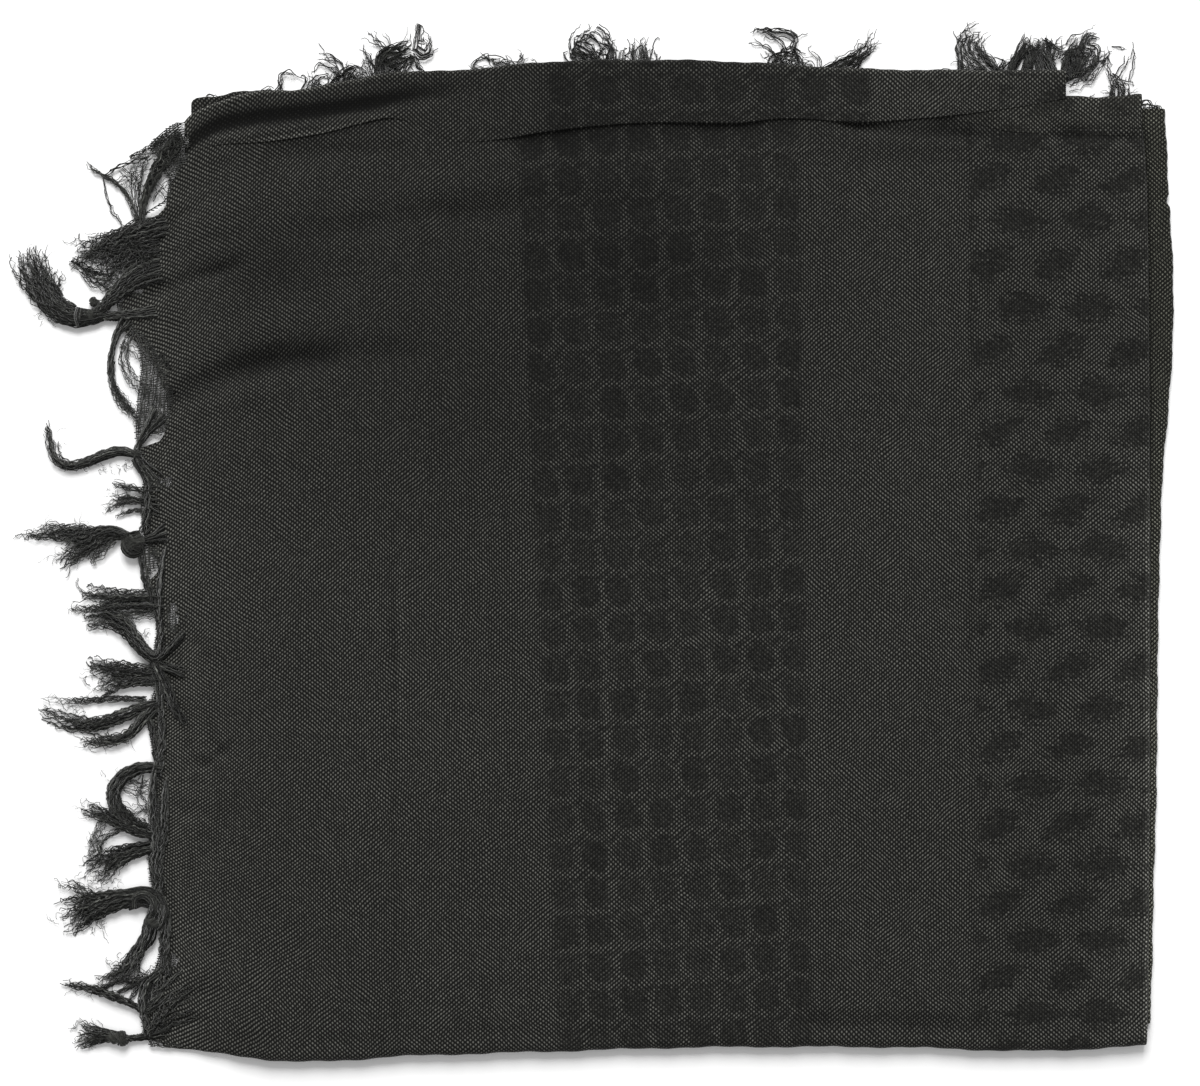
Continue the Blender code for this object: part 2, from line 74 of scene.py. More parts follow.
BOTTOM_EDGE = (
    (-245, -280), (-223, -283), (-195, -286), (-168, -289), (-134, -288), (-107, -286), (-12, -283),
    (60, -281), (170, -281), (245, -283), (309, -280),
)
TOP_FOLD = (
    (-237, 217), (-226, 234), (-219, 239.5), (-209, 243.4), (-199, 246.3), (-189, 248.6), (-178, 249.8),
    (-165, 250.1), (-153, 251.8), (-140, 254.2), (-127, 256.6), (-115, 259.6), (-90, 260.3), (-60, 262.2),
    (-29, 265.3), (0, 266.5), (42, 266.6), (80, 265.6), (120, 263.4), (150, 261.7), (200, 261), (262, 261),
)
CORNER_TOP = (
    (-224, 243), (-222, 245.3), (-219, 246.8), (-208, 247.4), (-203, 248.8), (-198, 250.1), (-188, 250.5),
    (-179, 251), (-170, 249.6),
)
CREASE_LINE = (
    (-243, 205), (-224, 215), (-209, 219.5), (-181, 221), (-150, 225.5), (-128, 231), (-113, 234),
    (-100, 231.5), (-86, 225), (-73, 221), (-50, 222.5), (-29, 226), (0, 229.5), (30, 231.5), (60, 231.5),
    (80, 231.3), (92, 232.5), (103, 233.8), (120, 233.5), (132, 232.6), (148, 231.8), (171, 233),
)
PANEL_TOP = (*CREASE_LINE, (204, 235), (234, 229), (310, 227))
STRIP_FOOT = (*CREASE_LINE, (204, 236), (240, 241), (262, 245))
STEP_TOP = ((204, 246), (262, 247), (281, 246), (304, 248))
LEFT_EDGE = (
    (-290, -243), (-266, -239), (-250, -236), (-100, -236), (12, -236), (30, -242), (56, -246), (85, -246),
    (115, -250), (133, -254), (150, -250), (168, -253), (180, -249), (197, -243), (220, -236),
)
RIGHT_FOLD = ((-290, 307), (-250, 308), (-30, 309), (150, 308), (200, 307), (235, 305))
SECOND_FOLD = (
    (-262, 310), (-240, 311), (-188, 312), (-144, 313.4), (-44, 314.5), (-4, 315.5), (39, 317), (60, 319),
    (99, 322), (117, 322.7), (150, 322.7), (197, 320.2), (240, 318.2),
)
# How far the strip laps over the panel, as a share of the full lap, along the crease.
LAP = (
    (-243, 0), (-222, 0.05), (-190, 0.22), (-140, 0.34), (-114, 0.24), (-100, 0.02), (-84, 0), (-62, 0.12),
    (-36, 0.4), (-10, 0.5), (60, 0.5), (104, 0.42), (131, 0.26), (150, 0.34), (171, 0.4), (196, 0.25),
    (215, 0.08), (262, 0.05),
)
# The deep trough in the strip: where it runs, and how deep.
TROUGH = (
    (-240, 204), (-232, 213), (-221, 224), (-212, 229.5), (-205, 232), (-191, 234.5), (-177, 236.2),
    (-163, 237.5), (-150, 239), (-136, 241), (-122, 243.2), (-109, 246), (-98, 248), (-80, 250.5),
    (-60, 252.5),
)
TROUGH_DEPTH = ((-240, 0.8), (-228, 1), (-128, 1), (-104, 0.7), (-80, 0.3), (-56, 0))
# How much the weft leans, near the left edge.
LEAN = ((-290, -0.32), (-200, -0.28), (-150, -0.1), (-60, 0.17), (30, 0.28), (120, 0.38), (260, 0.4))
# The worn left edge, x against y, out to the last threads.
WORN_EDGE = (
    (-290, -246), (-280, -246), (-272, -250), (-262, -249.5), (-252, -249), (-243, -246), (-232, -241.5),
    (-222, -239.5), (-202, -240), (-192, -245), (-180, -247), (-165, -246.5), (-156, -244.5),
    (-140, -244.5), (-125, -243.5), (-112, -245), (-100, -247.5), (-90, -246), (-80, -243.5), (-70, -246),
    (-62, -244), (-50, -242.5), (-38, -242.5), (-28, -245), (-22, -249), (-8, -250), (4, -250), (20, -251),
    (30, -249.5), (40, -248.5), (48, -252), (60, -254), (75, -253), (88, -251.5), (100, -251), (110, -253),
    (117, -257), (124, -262), (132, -264), (144, -260), (154, -258), (162, -262), (170, -263), (176, -259),
    (181, -251), (185, -244), (190, -237.5), (203, -236), (207, -240), (213, -241), (219, -246),
    (226, -240), (234, -229),
)
# How far the close weave stops short of that edge, against y: open, gauzy stretches.
GAUZE = (
    (-290, 3), (-281, 16), (-277, 5), (-270, 0.6), (-240, 0.6), (-228, 1.6), (-180, 1), (-160, 0.8),
    (-154, 3), (-146, 3.2), (-140, 1), (-128, 2.6), (-118, 4), (-106, 3.4), (-98, 0.8), (-60, 0.4),
    (-20, 1), (-14, 7.5), (-5, 7), (0, 2.5), (4, 6), (8, 1.5), (18, 1.5), (24, 4), (28, 3), (46, 1),
    (55, 1), (57, 2), (60, 14), (66, 16.5), (84, 16), (90, 13), (100, 9), (110, 6), (116, 3), (124, 0.8),
    (180, 0.6), (200, 1), (205, 6), (212, 14), (226, 12), (231, 4), (240, 1),
)
# Small worn patches inside the edge: x, y, half width, half height.
WORN_PATCHES = (
    (-233.8, -43, 2.4, 6.5), (-238.5, 32, 4.5, 2.2), (-236, 97, 1.3, 4), (-238.6, 101, 1.2, 2.6),
    (-235, 80, 1.6, 5), (-233.6, -234, 2, 4), (-226.5, -42.5, 1.4, 1), (-241.5, 101, 1, 1.2),
    (-229, 222, 4.5, 3), (-231, 214, 3.5, 3), (-254.5, 137.5, 3.2, 1.1),
)

# Creases and ridges: start x and y, end x and y, bow, half width, depth.
PANEL_CREASES = (
    (-138, 172, -60, 181, 3, 7, 1.3), (-70, 182, 26, 187, 2, 8, 1.1), (-236, 76, -150, 101, 7, 7, 4),
    (-170, 101, -108, 104, 0, 9, 1.8), (-258, 132, -204, 150, 2, 3.6, 2),
    (-262, 165, -226, 182, -2, 3.4, 1.6), (-262, 158, -236, 168, 2, 2.6, 1.2),
    (-228, 150, -160, 172, 5, 12, 0.8), (-211, -104, -205, -116, -3, 2, 1.6),
    (-221, -123, -206, -117, -3, 2.4, 1.5), (-224, -151, -206, -158, 3, 3.5, 1.2),
    (-223, -206, -217, -166, 4, 4, 1), (-213, -172, -197, -146, 2, 6, 0.8),
    (-232, -36, -210, -66, -3, 5, 1), (-236, 10, -222, -30, 2, 3.6, 1.2), (-231, -48, -233, -74, 2, 3, 1.6),
    (-234, -84, -226, -112, 2, 3.2, 1.2), (-237, -160, -233, -200, 0, 2.6, 1.4),
    (-235, -212, -234, -240, 1, 2.6, 1.4), (-244, -262, -214, -250, 3, 3.2, 1.1),
    (-246, -268, -220, -266, 2, 3, 1), (128, -267, 222, -269, 0, 6, 2), (-60, -271, 60, -272, 0, 6, 0.7),
    (-200, -276, -120, -277, 0, 5, 0.7), (146, 230, 226, 224, -1, 4.2, 2.2),
    (196, 231, 226, 232, 0, 4, 1.2), (-30, 220, 110, 227, 2, 7, 1.4), (258, 224, 304, 223, 0, 3, 1.6),
    (-205, 209, -110, 216, 3, 5, 1), (-224, 196, -130, 214, 4, 9, 0.8), (-108, 20, -110, -272, 0, 0.9, 0.4),
)
PANEL_RIDGES = (
    (-232, 93, -150, 122, 6, 12, 1.3), (-240, 62, -190, 80, 3, 7, 0.8), (-140, 187, 10, 199, 5, 10, 0.9),
    (-252, 144, -200, 160, 2, 5, 1), (-256, 174, -224, 190, 1, 4, 0.9),
    (-216, -110, -207, -122, -4, 2.5, 1), (-227, -160, -219, -198, 2, 3, 0.9),
    (-239, -4, -241, -60, 0, 2.2, 0.9), (-238, -96, -240, -132, 0, 2.2, 0.9),
    (-235, -142, -240, -182, 2, 2, 1.3), (-248, -248, -247, -272, 0, 2.2, 0.9),
    (-240, -250, -218, -240, 2, 2.5, 0.6), (-106, 20, -105, -100, 0, 1, 0.25),
    (5, 30, 11, -270, 0, 1.6, 0.25),
)
STRIP_CREASES = ((184, 250, 256, 247, 0, 4, 0.6), (232, 238, 262, 240, 0, 2.5, 0.8))
STRIP_RIDGES = ((-208, 222.5, -113, 236, 0, 2.4, 0.9), (-222, 238, -112, 257, 5, 2.6, 1))


def curve(table, at):
    """The smooth curve through a table's rows, read at many places."""
    places = np.array([row[0] for row in table], float)
    reach = np.array([row[1] for row in table], float)
    at = np.clip(np.asarray(at, float), places[0], places[-1])
    low = np.clip(np.searchsorted(places, at, side="left") - 1, 0, len(places) - 2)
    before, after = np.maximum(low - 1, 0), np.minimum(low + 2, len(places) - 1)
    width = places[low + 1] - places[low]
    slope_low = (reach[low + 1] - reach[before]) / (places[low + 1] - places[before]) * width
    slope_high = (reach[after] - reach[low]) / (places[after] - places[low]) * width
    t = (at - places[low]) / width
    return (
        reach[low] * (2 * t**3 - 3 * t**2 + 1) + slope_low * (t**3 - 2 * t**2 + t)
        + reach[low + 1] * (3 * t**2 - 2 * t**3) + slope_high * (t**3 - t**2)
    )


def smooth(t):
    """0 below 0, 1 above 1, and a soft step between."""
    t = np.clip(t, 0.0, 1.0)
    return t * t * (3 - 2 * t)


def bell(distance, width):
    """A soft hump: 1 at no distance, about a third at the width."""
    return np.exp(-((distance / width) ** 2))


def relief(creases, x, y):
    """Summed depth of a table of creases or ridges."""
    total = np.zeros(np.broadcast(x, y).shape)
    for x0, y0, x1, y1, bow, width, depth in creases:
        run_x, run_y = x1 - x0, y1 - y0
        length = np.hypot(run_x, run_y)
        along = ((x - x0) * run_x + (y - y0) * run_y) / length**2
        across = ((y - y0) * run_x - (x - x0) * run_y) / length
        inside = np.clip(along, 0.0, 1.0)
        across = across - bow * 4 * inside * (1 - inside)
        beyond = (along - inside) * length
        uneven = 0.75 + 0.25 * np.sin(inside * 9.0 + x0)
        total += depth * uneven * bell(across, width) * bell(beyond, 2.2 * width)
    return total


def swell(x, y, size, seed):
    """A slow, even-handed unevenness between about -1 and 1."""
    waves = np.random.default_rng(seed)
    total = 0.0
    for _ in range(5):
        angle, phase, stretch = waves.uniform(0, 2 * pi), waves.uniform(0, 2 * pi), waves.uniform(0.7, 1.5)
        run = x * cos(angle) + y * sin(angle)
        total = total + np.sin(run * 2 * pi / (size * stretch) + phase)
    return total / 3.0


def inward(x, y):
    """Distance in from the lower plies' left edge."""
    return x - curve(LEFT_EDGE, y)


def past_edge(x, y):
    """How much of the panel's rise is left out past the lower plies, where its edge sags."""
    return 1 - 0.45 * smooth(-inward(x, y) / 16.0)


def pile_at(x, y):
    """Height of the pile of plies, which thins out towards the left edge."""
    return LEFT_EDGE_HEIGHT + (PILE - LEFT_EDGE_HEIGHT) * smooth(inward(x, y) / LEFT_SLOPE)


def lie(x, y):
    """Small unevenness of cloth that lies flat, calmer towards its folds."""
    share = smooth(inward(x, y) / 50.0)
    return share * (0.16 * swell(x, y, 70.0, 3) + 0.07 * swell(x, y * 2.0, 26.0, 4))


def trough_at(x, y):
    """The strip's trough, from 0 to 1: steeper on its lower side."""
    across = y - curve(TROUGH, x)
    return curve(TROUGH_DEPTH, x) * bell(across, np.where(across > 0, 5.6, 4.4))


def panel_height(x, y):
    """Upper face of the top panel."""
    to_top = np.maximum(curve(PANEL_TOP, x) - y, 0.0)
    dip = (0.1 + 1.6 * curve(LAP, x)) * bell(to_top, 8.0)
    share = smooth(inward(x, y) / 26.0)
    near = smooth(inward(x, y) / 7.0)
    creases = relief(PANEL_CREASES, x, y) - relief(PANEL_RIDGES, x, y)
    height = pile_at(x, y) - share * dip - (0.4 + 0.4 * near + 0.55 * share) * creases + lie(x, y)
    return np.maximum(height * past_edge(x, y), 0.7)


def strip_height(x, y):
    """Upper face of the strip."""
    share = smooth(inward(x, y) / 30.0)
    lap = curve(LAP, x)
    lift = 0.35 * lap + 0.25 * smooth((x - 176.0) / 30.0)
    crown = (0.15 + 0.35 * lap) * smooth((y - curve(STRIP_FOOT, x)) / 10.0)
    creases = relief(STRIP_CREASES, x, y) - relief(STRIP_RIDGES, x, y) + 2.6 * trough_at(x, y + 2.4)
    return pile_at(x, y) + lift + share * (crown - creases) + 0.7 * lie(x, y)


# ---------------------------------------------------------------- meshes


def graded(*spans):
    """Stations from spans of (start, end, step)."""
    marks = [spans[0][0]]
    for start, end, step in spans:
        count = max(1, round((end - start) / step))
        marks += [start + (end - start) * (i + 1) / count for i in range(count)]
    return np.array(marks, float)


def points_at(x, y, z):
    """Points from their coordinates, each a number or an array."""
    return np.stack(np.broadcast_arrays(x, y, z), axis=-1)


def new_piece(name, points, quads, finish, point_data, uv=None):
    """One object riding on the frame, from points in millimetres."""
    mesh = bpy.data.meshes.new(name)
    mesh.vertices.add(len(points))
    mesh.vertices.foreach_set("co", (np.asarray(points, float) * MM).astype(np.float32).ravel())
    mesh.loops.add(quads.size)
    mesh.loops.foreach_set("vertex_index", quads.astype(np.int32).ravel())
    mesh.polygons.add(len(quads))
    mesh.polygons.foreach_set("loop_start", np.arange(0, quads.size, 4, dtype=np.int32))
    mesh.update(calc_edges=True)
    mesh.validate()
    for key, values in point_data.items():
        values = np.asarray(values, np.float32)
        kind, field = ("FLOAT", "value") if values.ndim == 1 else ("FLOAT_VECTOR", "vector")
        mesh.attributes.new(key, kind, "POINT").data.foreach_set(field, values.ravel())
    if uv is not None:
        layer = mesh.uv_layers.new(name="OFBake")
        index = np.zeros(len(mesh.loops), np.int32)
        mesh.loops.foreach_get("vertex_index", index)
        layer.data.foreach_set("uv", np.asarray(uv, np.float32)[index].ravel())
    mesh.shade_smooth()
    mesh.materials.append(finish)
    made = bpy.data.objects.new(name, mesh)
    bpy.context.scene.collection.objects.link(made)
    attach(made, "root")
    return made


def run_along(grid, axis):
    """Mean distance covered along one side of a grid of points."""
    steps = np.linalg.norm(np.diff(grid, axis=axis), axis=2).mean(axis=1 - axis)
    return np.concatenate([[0.0], np.cumsum(np.maximum(steps, 0.05))])


def grid_piece(name, grid, data, finish, missing=None):
    """A cloth sheet from a grid of points, rows by columns, with data for each point."""
    rows, columns = grid.shape[:2]
    index = np.arange(rows * columns).reshape(rows, columns)
    quads = np.stack([index[:-1, :-1], index[:-1, 1:], index[1:, 1:], index[1:, :-1]], axis=-1)
    kept = quads.reshape(-1, 4) if missing is None else quads[~missing]
    used = np.unique(kept)
    place = np.zeros(rows * columns, int)
    place[used] = np.arange(len(used))
    down, across = run_along(grid, 0), run_along(grid, 1)
    size = max(down[-1], across[-1]) * 1.02
    uv = np.stack(np.broadcast_arrays(across[None, :] / size + 0.01, down[:, None] / size + 0.01), axis=-1)
    flat = {key: values.reshape(rows * columns, -1)[used].squeeze() for key, values in data.items()}
    return new_piece(name, grid.reshape(-1, 3)[used], place[kept], finish, flat, uv.reshape(-1, 2)[used])


class Yarns:
    """Thin tubes gathered for one piece."""

    def __init__(self):
        self.points, self.quads, self.tones, self.count = [], [], [], 0

    def gather(self, points, quads, tones):
        self.points.append(points)
        self.quads.append(quads + self.count)
        self.tones.append(tones)
        self.count += len(points)

    def add(self, paths, radii, tones, sides=3, closed=False):
        """Tubes round paths (count, stations, 3), with radii (count, stations)."""
        paths = np.asarray(paths, float)
        ahead = np.roll(paths, -1, axis=1) - np.roll(paths, 1, axis=1)
        if not closed:
            ahead[:, 0] = paths[:, 1] - paths[:, 0]
            ahead[:, -1] = paths[:, -1] - paths[:, -2]
        ahead /= np.linalg.norm(ahead, axis=2, keepdims=True) + 1e-9
        side = np.cross(ahead, np.array([0.13, 0.07, 0.99]))
        side /= np.linalg.norm(side, axis=2, keepdims=True) + 1e-9
        up = np.cross(side, ahead)
        turn = (2 * pi * np.arange(sides) / sides)[None, None, :, None]
        ring = side[:, :, None, :] * np.cos(turn) + up[:, :, None, :] * np.sin(turn)
        tube = paths[:, :, None, :] + ring * np.asarray(radii)[:, :, None, None]
        tube[..., 2] = np.maximum(tube[..., 2], YARN_FLOOR)
        count, stations = paths.shape[:2]
        index = np.arange(count * stations * sides).reshape(count, stations, sides)
        turned = np.roll(index, -1, axis=2)
        onward, both = np.roll(index, -1, axis=1), np.roll(turned, -1, axis=1)
        quads = np.stack([index, onward, both, turned], axis=-1)
        quads = quads if closed else quads[:, :-1]
        tones = np.asarray(tones, float).reshape(count, -1) * np.ones((1, stations))
        self.gather(tube.reshape(-1, 3), quads.reshape(-1, 4), np.repeat(tones.ravel(), sides))

    def ball(self, centre, size, tone, rings=6, sides=9):
        """A closed lump, the core of a knot."""
        polar = (pi * np.arange(rings + 1) / rings)[:, None]
        turn = (2 * pi * np.arange(sides) / sides)[None, :]
        points = points_at(
            centre[0] + size[0] * np.sin(polar) * np.cos(turn),
            centre[1] + size[1] * np.sin(polar) * np.sin(turn),
            np.maximum(centre[2] + size[2] * np.cos(polar), YARN_FLOOR),
        ).reshape(-1, 3)
        index = np.arange(len(points)).reshape(rings + 1, sides)
        turned = np.roll(index, -1, axis=1)
        quads = np.stack([index[:-1], index[1:], turned[1:], turned[:-1]], axis=-1)
        self.gather(points, quads.reshape(-1, 4), np.full(len(points), tone))

    def piece(self, name):
        tones = {"tone": np.concatenate(self.tones)}
        return new_piece(name, np.concatenate(self.points), np.concatenate(self.quads), YARN, tones)


def through(keys, t):
    """A smooth line through keys that start with (x, y), read at shares of its length, and that length."""
    keys = np.asarray(keys, float)
    lengths = np.concatenate([[0], np.cumsum(np.linalg.norm(np.diff(keys[:, :2], axis=0), axis=1))])
    shares = lengths / lengths[-1]
    line = np.stack([curve(list(zip(shares, column)), t) for column in keys.T], axis=-1)
    return line, lengths[-1]


def mottled(tones, stations):
    """A strand's own shade, broken into lighter and darker lengths as it turns."""
    return np.asarray(tones)[:, None] * np.exp(rng.normal(0, 0.55, (len(tones), stations)))


def run_yarns(yarns, keys, count, radius, curl, fray, shade=1.0):
    """Yarns side by side along a given line: keys (x, y, z, half width)."""
    tied = fray < 0.15
    loose_ended = fray > 0.15
    length = through(keys, np.zeros(1))[1]
    stations = int(np.clip(length / STATION, 7, 34))
    stop = 1.0 - (1.25 * fray if loose_ended else fray) * rng.random(count)
    t = stop[:, None] * np.linspace(0, 1, stations)[None, :]
    centre = through(keys, t)[0]
    width = centre[..., 3]
    ahead = through(keys, np.clip(t + 0.02, 0, 1))[0]
    behind = through(keys, np.clip(t - 0.02, 0, 1))[0]
    run = (ahead - behind)[..., :2]
    run /= np.linalg.norm(run, axis=2, keepdims=True) + 1e-9
    normal = np.stack([-run[..., 1], run[..., 0]], axis=-1)
    place = rng.uniform(-1, 1, count)[:, None]
    level = rng.uniform(-1, 1, count)[:, None]
    grow = np.clip(0.25 + t * 1.4, 0, 1.5)
    wave = 0.35 * rng.normal(0, 1, t.shape)
    rise = 0.35 * rng.normal(0, 1, t.shape)
    for share in (1.0, 0.5):
        period = rng.uniform(5.0, 11.0, count)[:, None] * share
        phase = rng.uniform(0, 2 * pi, count)[:, None]
        wave += share * np.sin(2 * pi * t * length / period + phase)
        rise += share * np.cos(2 * pi * t * length / (period * 1.2) + phase * 1.7)
    loose = np.clip((t - 0.3) / 0.7, 0, 1) ** 1.5
    drift = np.clip(rng.normal(0, 1.15 if loose_ended else 0.0, count), -1.4, 1.4)[:, None] * loose
    sideways = width * (place + drift) + curl * grow * wave * 0.7
    paths = np.empty(t.shape + (3,))
    onward = curl * grow * rise * 0.5
    paths[..., :2] = centre[..., :2] + normal * sideways[..., None] + run * onward[..., None]
    body = np.minimum(width, 2.0) * level * np.sqrt(np.maximum(1 - place**2, 0.05))
    paths[..., 2] = centre[..., 2] + body + curl * 0.4 * grow * rise
    along = t * length
    rooted = inward(centre[..., 0], centre[..., 1]) > -3.0
    paths[..., 2] -= ROOT_DEPTH * rooted * (1 - smooth(along / 4.0))
    if tied:
        paths[..., 2] -= ROOT_DEPTH * rooted * (1 - smooth((length - along) / 4.0))
    radii = radius * rng.uniform(0.7, 1.3, count)[:, None] * np.clip(1.7 - t / stop[:, None], 0.6, 1.0)
    paths[..., 2] = np.maximum(paths[..., 2], radii * 0.9 + YARN_FLOOR)
    tones = np.minimum(shade * np.exp(rng.normal(-0.1, 1.0, count)), 2.2)
    yarns.add(paths, radii, mottled(tones, stations))


def frizz(yarns, starts, heading, spread, length, bend, radius=0.2, z=(0.4, 3.0)):
    """Loose strands that curl as they please from their starts: an (x, y) list, a heading in degrees."""
    count = len(starts)
    stations = int(np.clip(length / 0.8, 7, 18))
    share = np.linspace(0, 1, stations)[None, :]
    steps = length * rng.uniform(0.45, 1.15, count)[:, None] / stations
    turn = rng.normal(0, 1, (count, 1))
    turn = turn + np.sin(share * rng.uniform(6, 22, (count, 1)) + rng.uniform(0, 6, (count, 1))) * 1.8
    angle = radians(heading) + radians(spread) * rng.normal(0, 0.5, count)[:, None]
    angle = angle + np.cumsum(turn * bend / stations, axis=1)
    x = starts[:, :1] + np.cumsum(np.cos(angle) * steps, axis=1)
    y = starts[:, 1:2] + np.cumsum(np.sin(angle) * steps, axis=1)
    level = rng.uniform(*z, count)[:, None] * (1 - 0.5 * share)
    level = level + 0.5 * np.sin(6 * share + rng.uniform(0, 6, count)[:, None])
    radii = radius * rng.uniform(0.7, 1.3, count)[:, None] * (1 - 0.5 * share)
    tones = mottled(rng.uniform(0.3, 1.5, count), stations)
    yarns.add(points_at(x, y, np.maximum(level, 0.3)), radii, tones)


def knot(yarns, x, y, z, size, angle, turns=20, radius=0.52):
    """A tied lump: a core wound with yarn."""
    along = radians(angle)
    # the core's very dark tone is painted shade inside the knot, between its wraps
    yarns.ball((x, y, z), (size * 0.8, size * 0.76, size * 0.55), 0.1)
    loop = np.linspace(0, 2 * pi, 14, endpoint=False)
    paths = []
    for i in range(turns):
        lean = rng.normal(0, 0.45) + (0.9 if i % 3 == 0 else 0.0)
        shift = rng.uniform(-0.5, 0.5)
        ring = np.sqrt(1 - shift**2)
        u, v, w = shift + 0 * loop, ring * np.cos(loop), ring * np.sin(loop)
        u, v = u * cos(lean) - v * sin(lean), u * sin(lean) + v * cos(lean)
        paths.append(points_at(
            x + size * (u * cos(along) - v * sin(along)) * 0.92,
            y + size * (u * sin(along) + v * cos(along)) * 0.88,
            np.maximum(z + size * w * 0.7, radius),
        ))
    yarns.add(paths, np.full((turns, 14), radius), rng.uniform(0.2, 2.4, turns), sides=4, closed=True)


# ---------------------------------------------------------------- materials


class Field:
    """A number in a node tree, so that a pattern reads as a formula."""

    def __init__(self, tree, socket):
        self.tree, self.socket = tree, socket

    def math(self, operation, *others):
        node = self.tree.nodes.new("ShaderNodeMath")
        node.operation = operation
        for slot, value in enumerate((self, *others)):
            if isinstance(value, Field):
                self.tree.links.new(value.socket, node.inputs[slot])
            else:
                node.inputs[slot].default_value = value
        return Field(self.tree, node.outputs[0])

    def __add__(self, other):
        return self.math("ADD", other)

    def __sub__(self, other):
        return self.math("SUBTRACT", other)

    def __mul__(self, other):
        return self.math("MULTIPLY", other)

    def sin(self, scale=1.0, shift=0.0):
        return (self * scale + shift).math("SINE")

    def size(self):
        return self.math("ABSOLUTE")

    def at_least(self, other):
        return self.math("MAXIMUM", other)

    def to(self, power):
        return self.math("POWER", power)

    def off_whole(self):
        """Distance from the nearest whole number, with its sign."""
        return self - self.math("ROUND")

    def step(self, low, high, start=0.0, end=1.0):
        """A soft step from start to end as the value goes from low to high."""
        node = self.tree.nodes.new("ShaderNodeMapRange")
        node.interpolation_type = "SMOOTHSTEP"
        for slot, value in zip(("From Min", "From Max", "To Min", "To Max"), (low, high, start, end)):
            node.inputs[slot].default_value = value
        self.tree.links.new(self.socket, node.inputs["Value"])
        return Field(self.tree, node.outputs["Result"])


def attribute(tree, name):
    """The node that reads a mesh attribute."""
    node = tree.nodes.new("ShaderNodeAttribute")
    node.attribute_type = "GEOMETRY"
    node.attribute_name = name
    return node


def number_of(tree, name):
    """A mesh attribute that is one number."""
    return Field(tree, attribute(tree, name).outputs["Fac"])


def parts_of(tree, name):
    """A mesh attribute's three numbers."""
    node = attribute(tree, name)
    split = tree.nodes.new("ShaderNodeSeparateXYZ")
    tree.links.new(node.outputs["Vector"], split.inputs[0])
    return [Field(tree, split.outputs[i]) for i in range(3)]


def joined(tree, x, y, z=0.0):
    """A vector from three numbers."""
    node = tree.nodes.new("ShaderNodeCombineXYZ")
    for slot, value in enumerate((x, y, z)):
        if isinstance(value, Field):
            tree.links.new(value.socket, node.inputs[slot])
        else:
            node.inputs[slot].default_value = value
    return node.outputs[0]


def noise(tree, vector, scale, detail=1.0):
    """Noise round 0, between about -1 and 1."""
    node = tree.nodes.new("ShaderNodeTexNoise")
    node.inputs["Scale"].default_value = scale
    node.inputs["Detail"].default_value = detail
    tree.links.new(vector, node.inputs["Vector"])
    return (Field(tree, node.outputs["Fac"]) - 0.5) * 3.0


def scatter(tree, vector):
    """A value from 0 to 1 for each cell."""
    node = tree.nodes.new("ShaderNodeTexWhiteNoise")
    node.noise_dimensions = "3D"
    tree.links.new(vector, node.inputs["Vector"])
    return Field(tree, node.outputs["Value"])


def tinted(tree, value, tint):
    """A grey value times a tint, as a colour."""
    node = tree.nodes.new("ShaderNodeCombineColor")
    for slot, share in enumerate(tint):
        tree.links.new((value * share).socket, node.inputs[slot])
    return node.outputs[0]


def blank_material(name, roughness, sheen):
    """A material with its node tree and its shader."""
    made = bpy.data.materials.new(name)
    made.use_nodes = True
    tree = made.node_tree
    shader = tree.nodes["Principled BSDF"]
    shader.inputs["Roughness"].default_value = roughness
    shader.inputs["Specular IOR Level"].default_value = 0.12
    shader.inputs["Sheen Weight"].default_value = sheen
    shader.inputs["Sheen Roughness"].default_value = 0.45
    return made, tree, shader


def bumped(tree, shader, height, distance):
    """Gives the shader a bump of the height, whose full size is the distance, in metres."""
    node = tree.nodes.new("ShaderNodeBump")
    node.inputs["Strength"].default_value = 0.5
    node.inputs["Distance"].default_value = distance
    tree.links.new(height.socket, node.inputs["Height"])
    tree.links.new(node.outputs[0], shader.inputs["Normal"])


def dot_pattern(tree, column, row, u, v, ragged):
    """Rounded, slanting floats in a paler scalloped net: 1 where the floats are, and the net's own mask."""
    warp = noise(tree, joined(tree, u, v), 0.09, 2.0)
    other = noise(tree, joined(tree, u, v, 17.0), 0.13, 2.0)
    column = column + warp * 0.055
    row = row + other * 0.06
    a, b = column.off_whole(), row.off_whole()
    a = a + b * 0.20
    spot = (a * 2.4).size().to(2.3) + ((b - 0.02) * 2.18).size().to(2.3) + ragged * 0.42
    strength = scatter(tree, joined(tree, column.math("ROUND"), row.math("ROUND"))) * 0.35 + 0.65
    spot = spot.step(0.45, 1.3, 1.0, 0.0) * strength
    zigzag = row - 0.5 + (column - 0.1).sin(2 * pi) * 0.15 + ragged * 0.03
    line = zigzag.off_whole().size().step(0.03, 0.10, 1.0, 0.0)
    gate = (column - 0.47).sin(2 * pi, pi / 2).step(-0.5, 0.6)
    return spot.at_least(line * gate * 0.8)


LEAF_PITCH_X = 38.8
LEAF_PITCH_Y = 43.4
LEAF_TILT = radians(25)


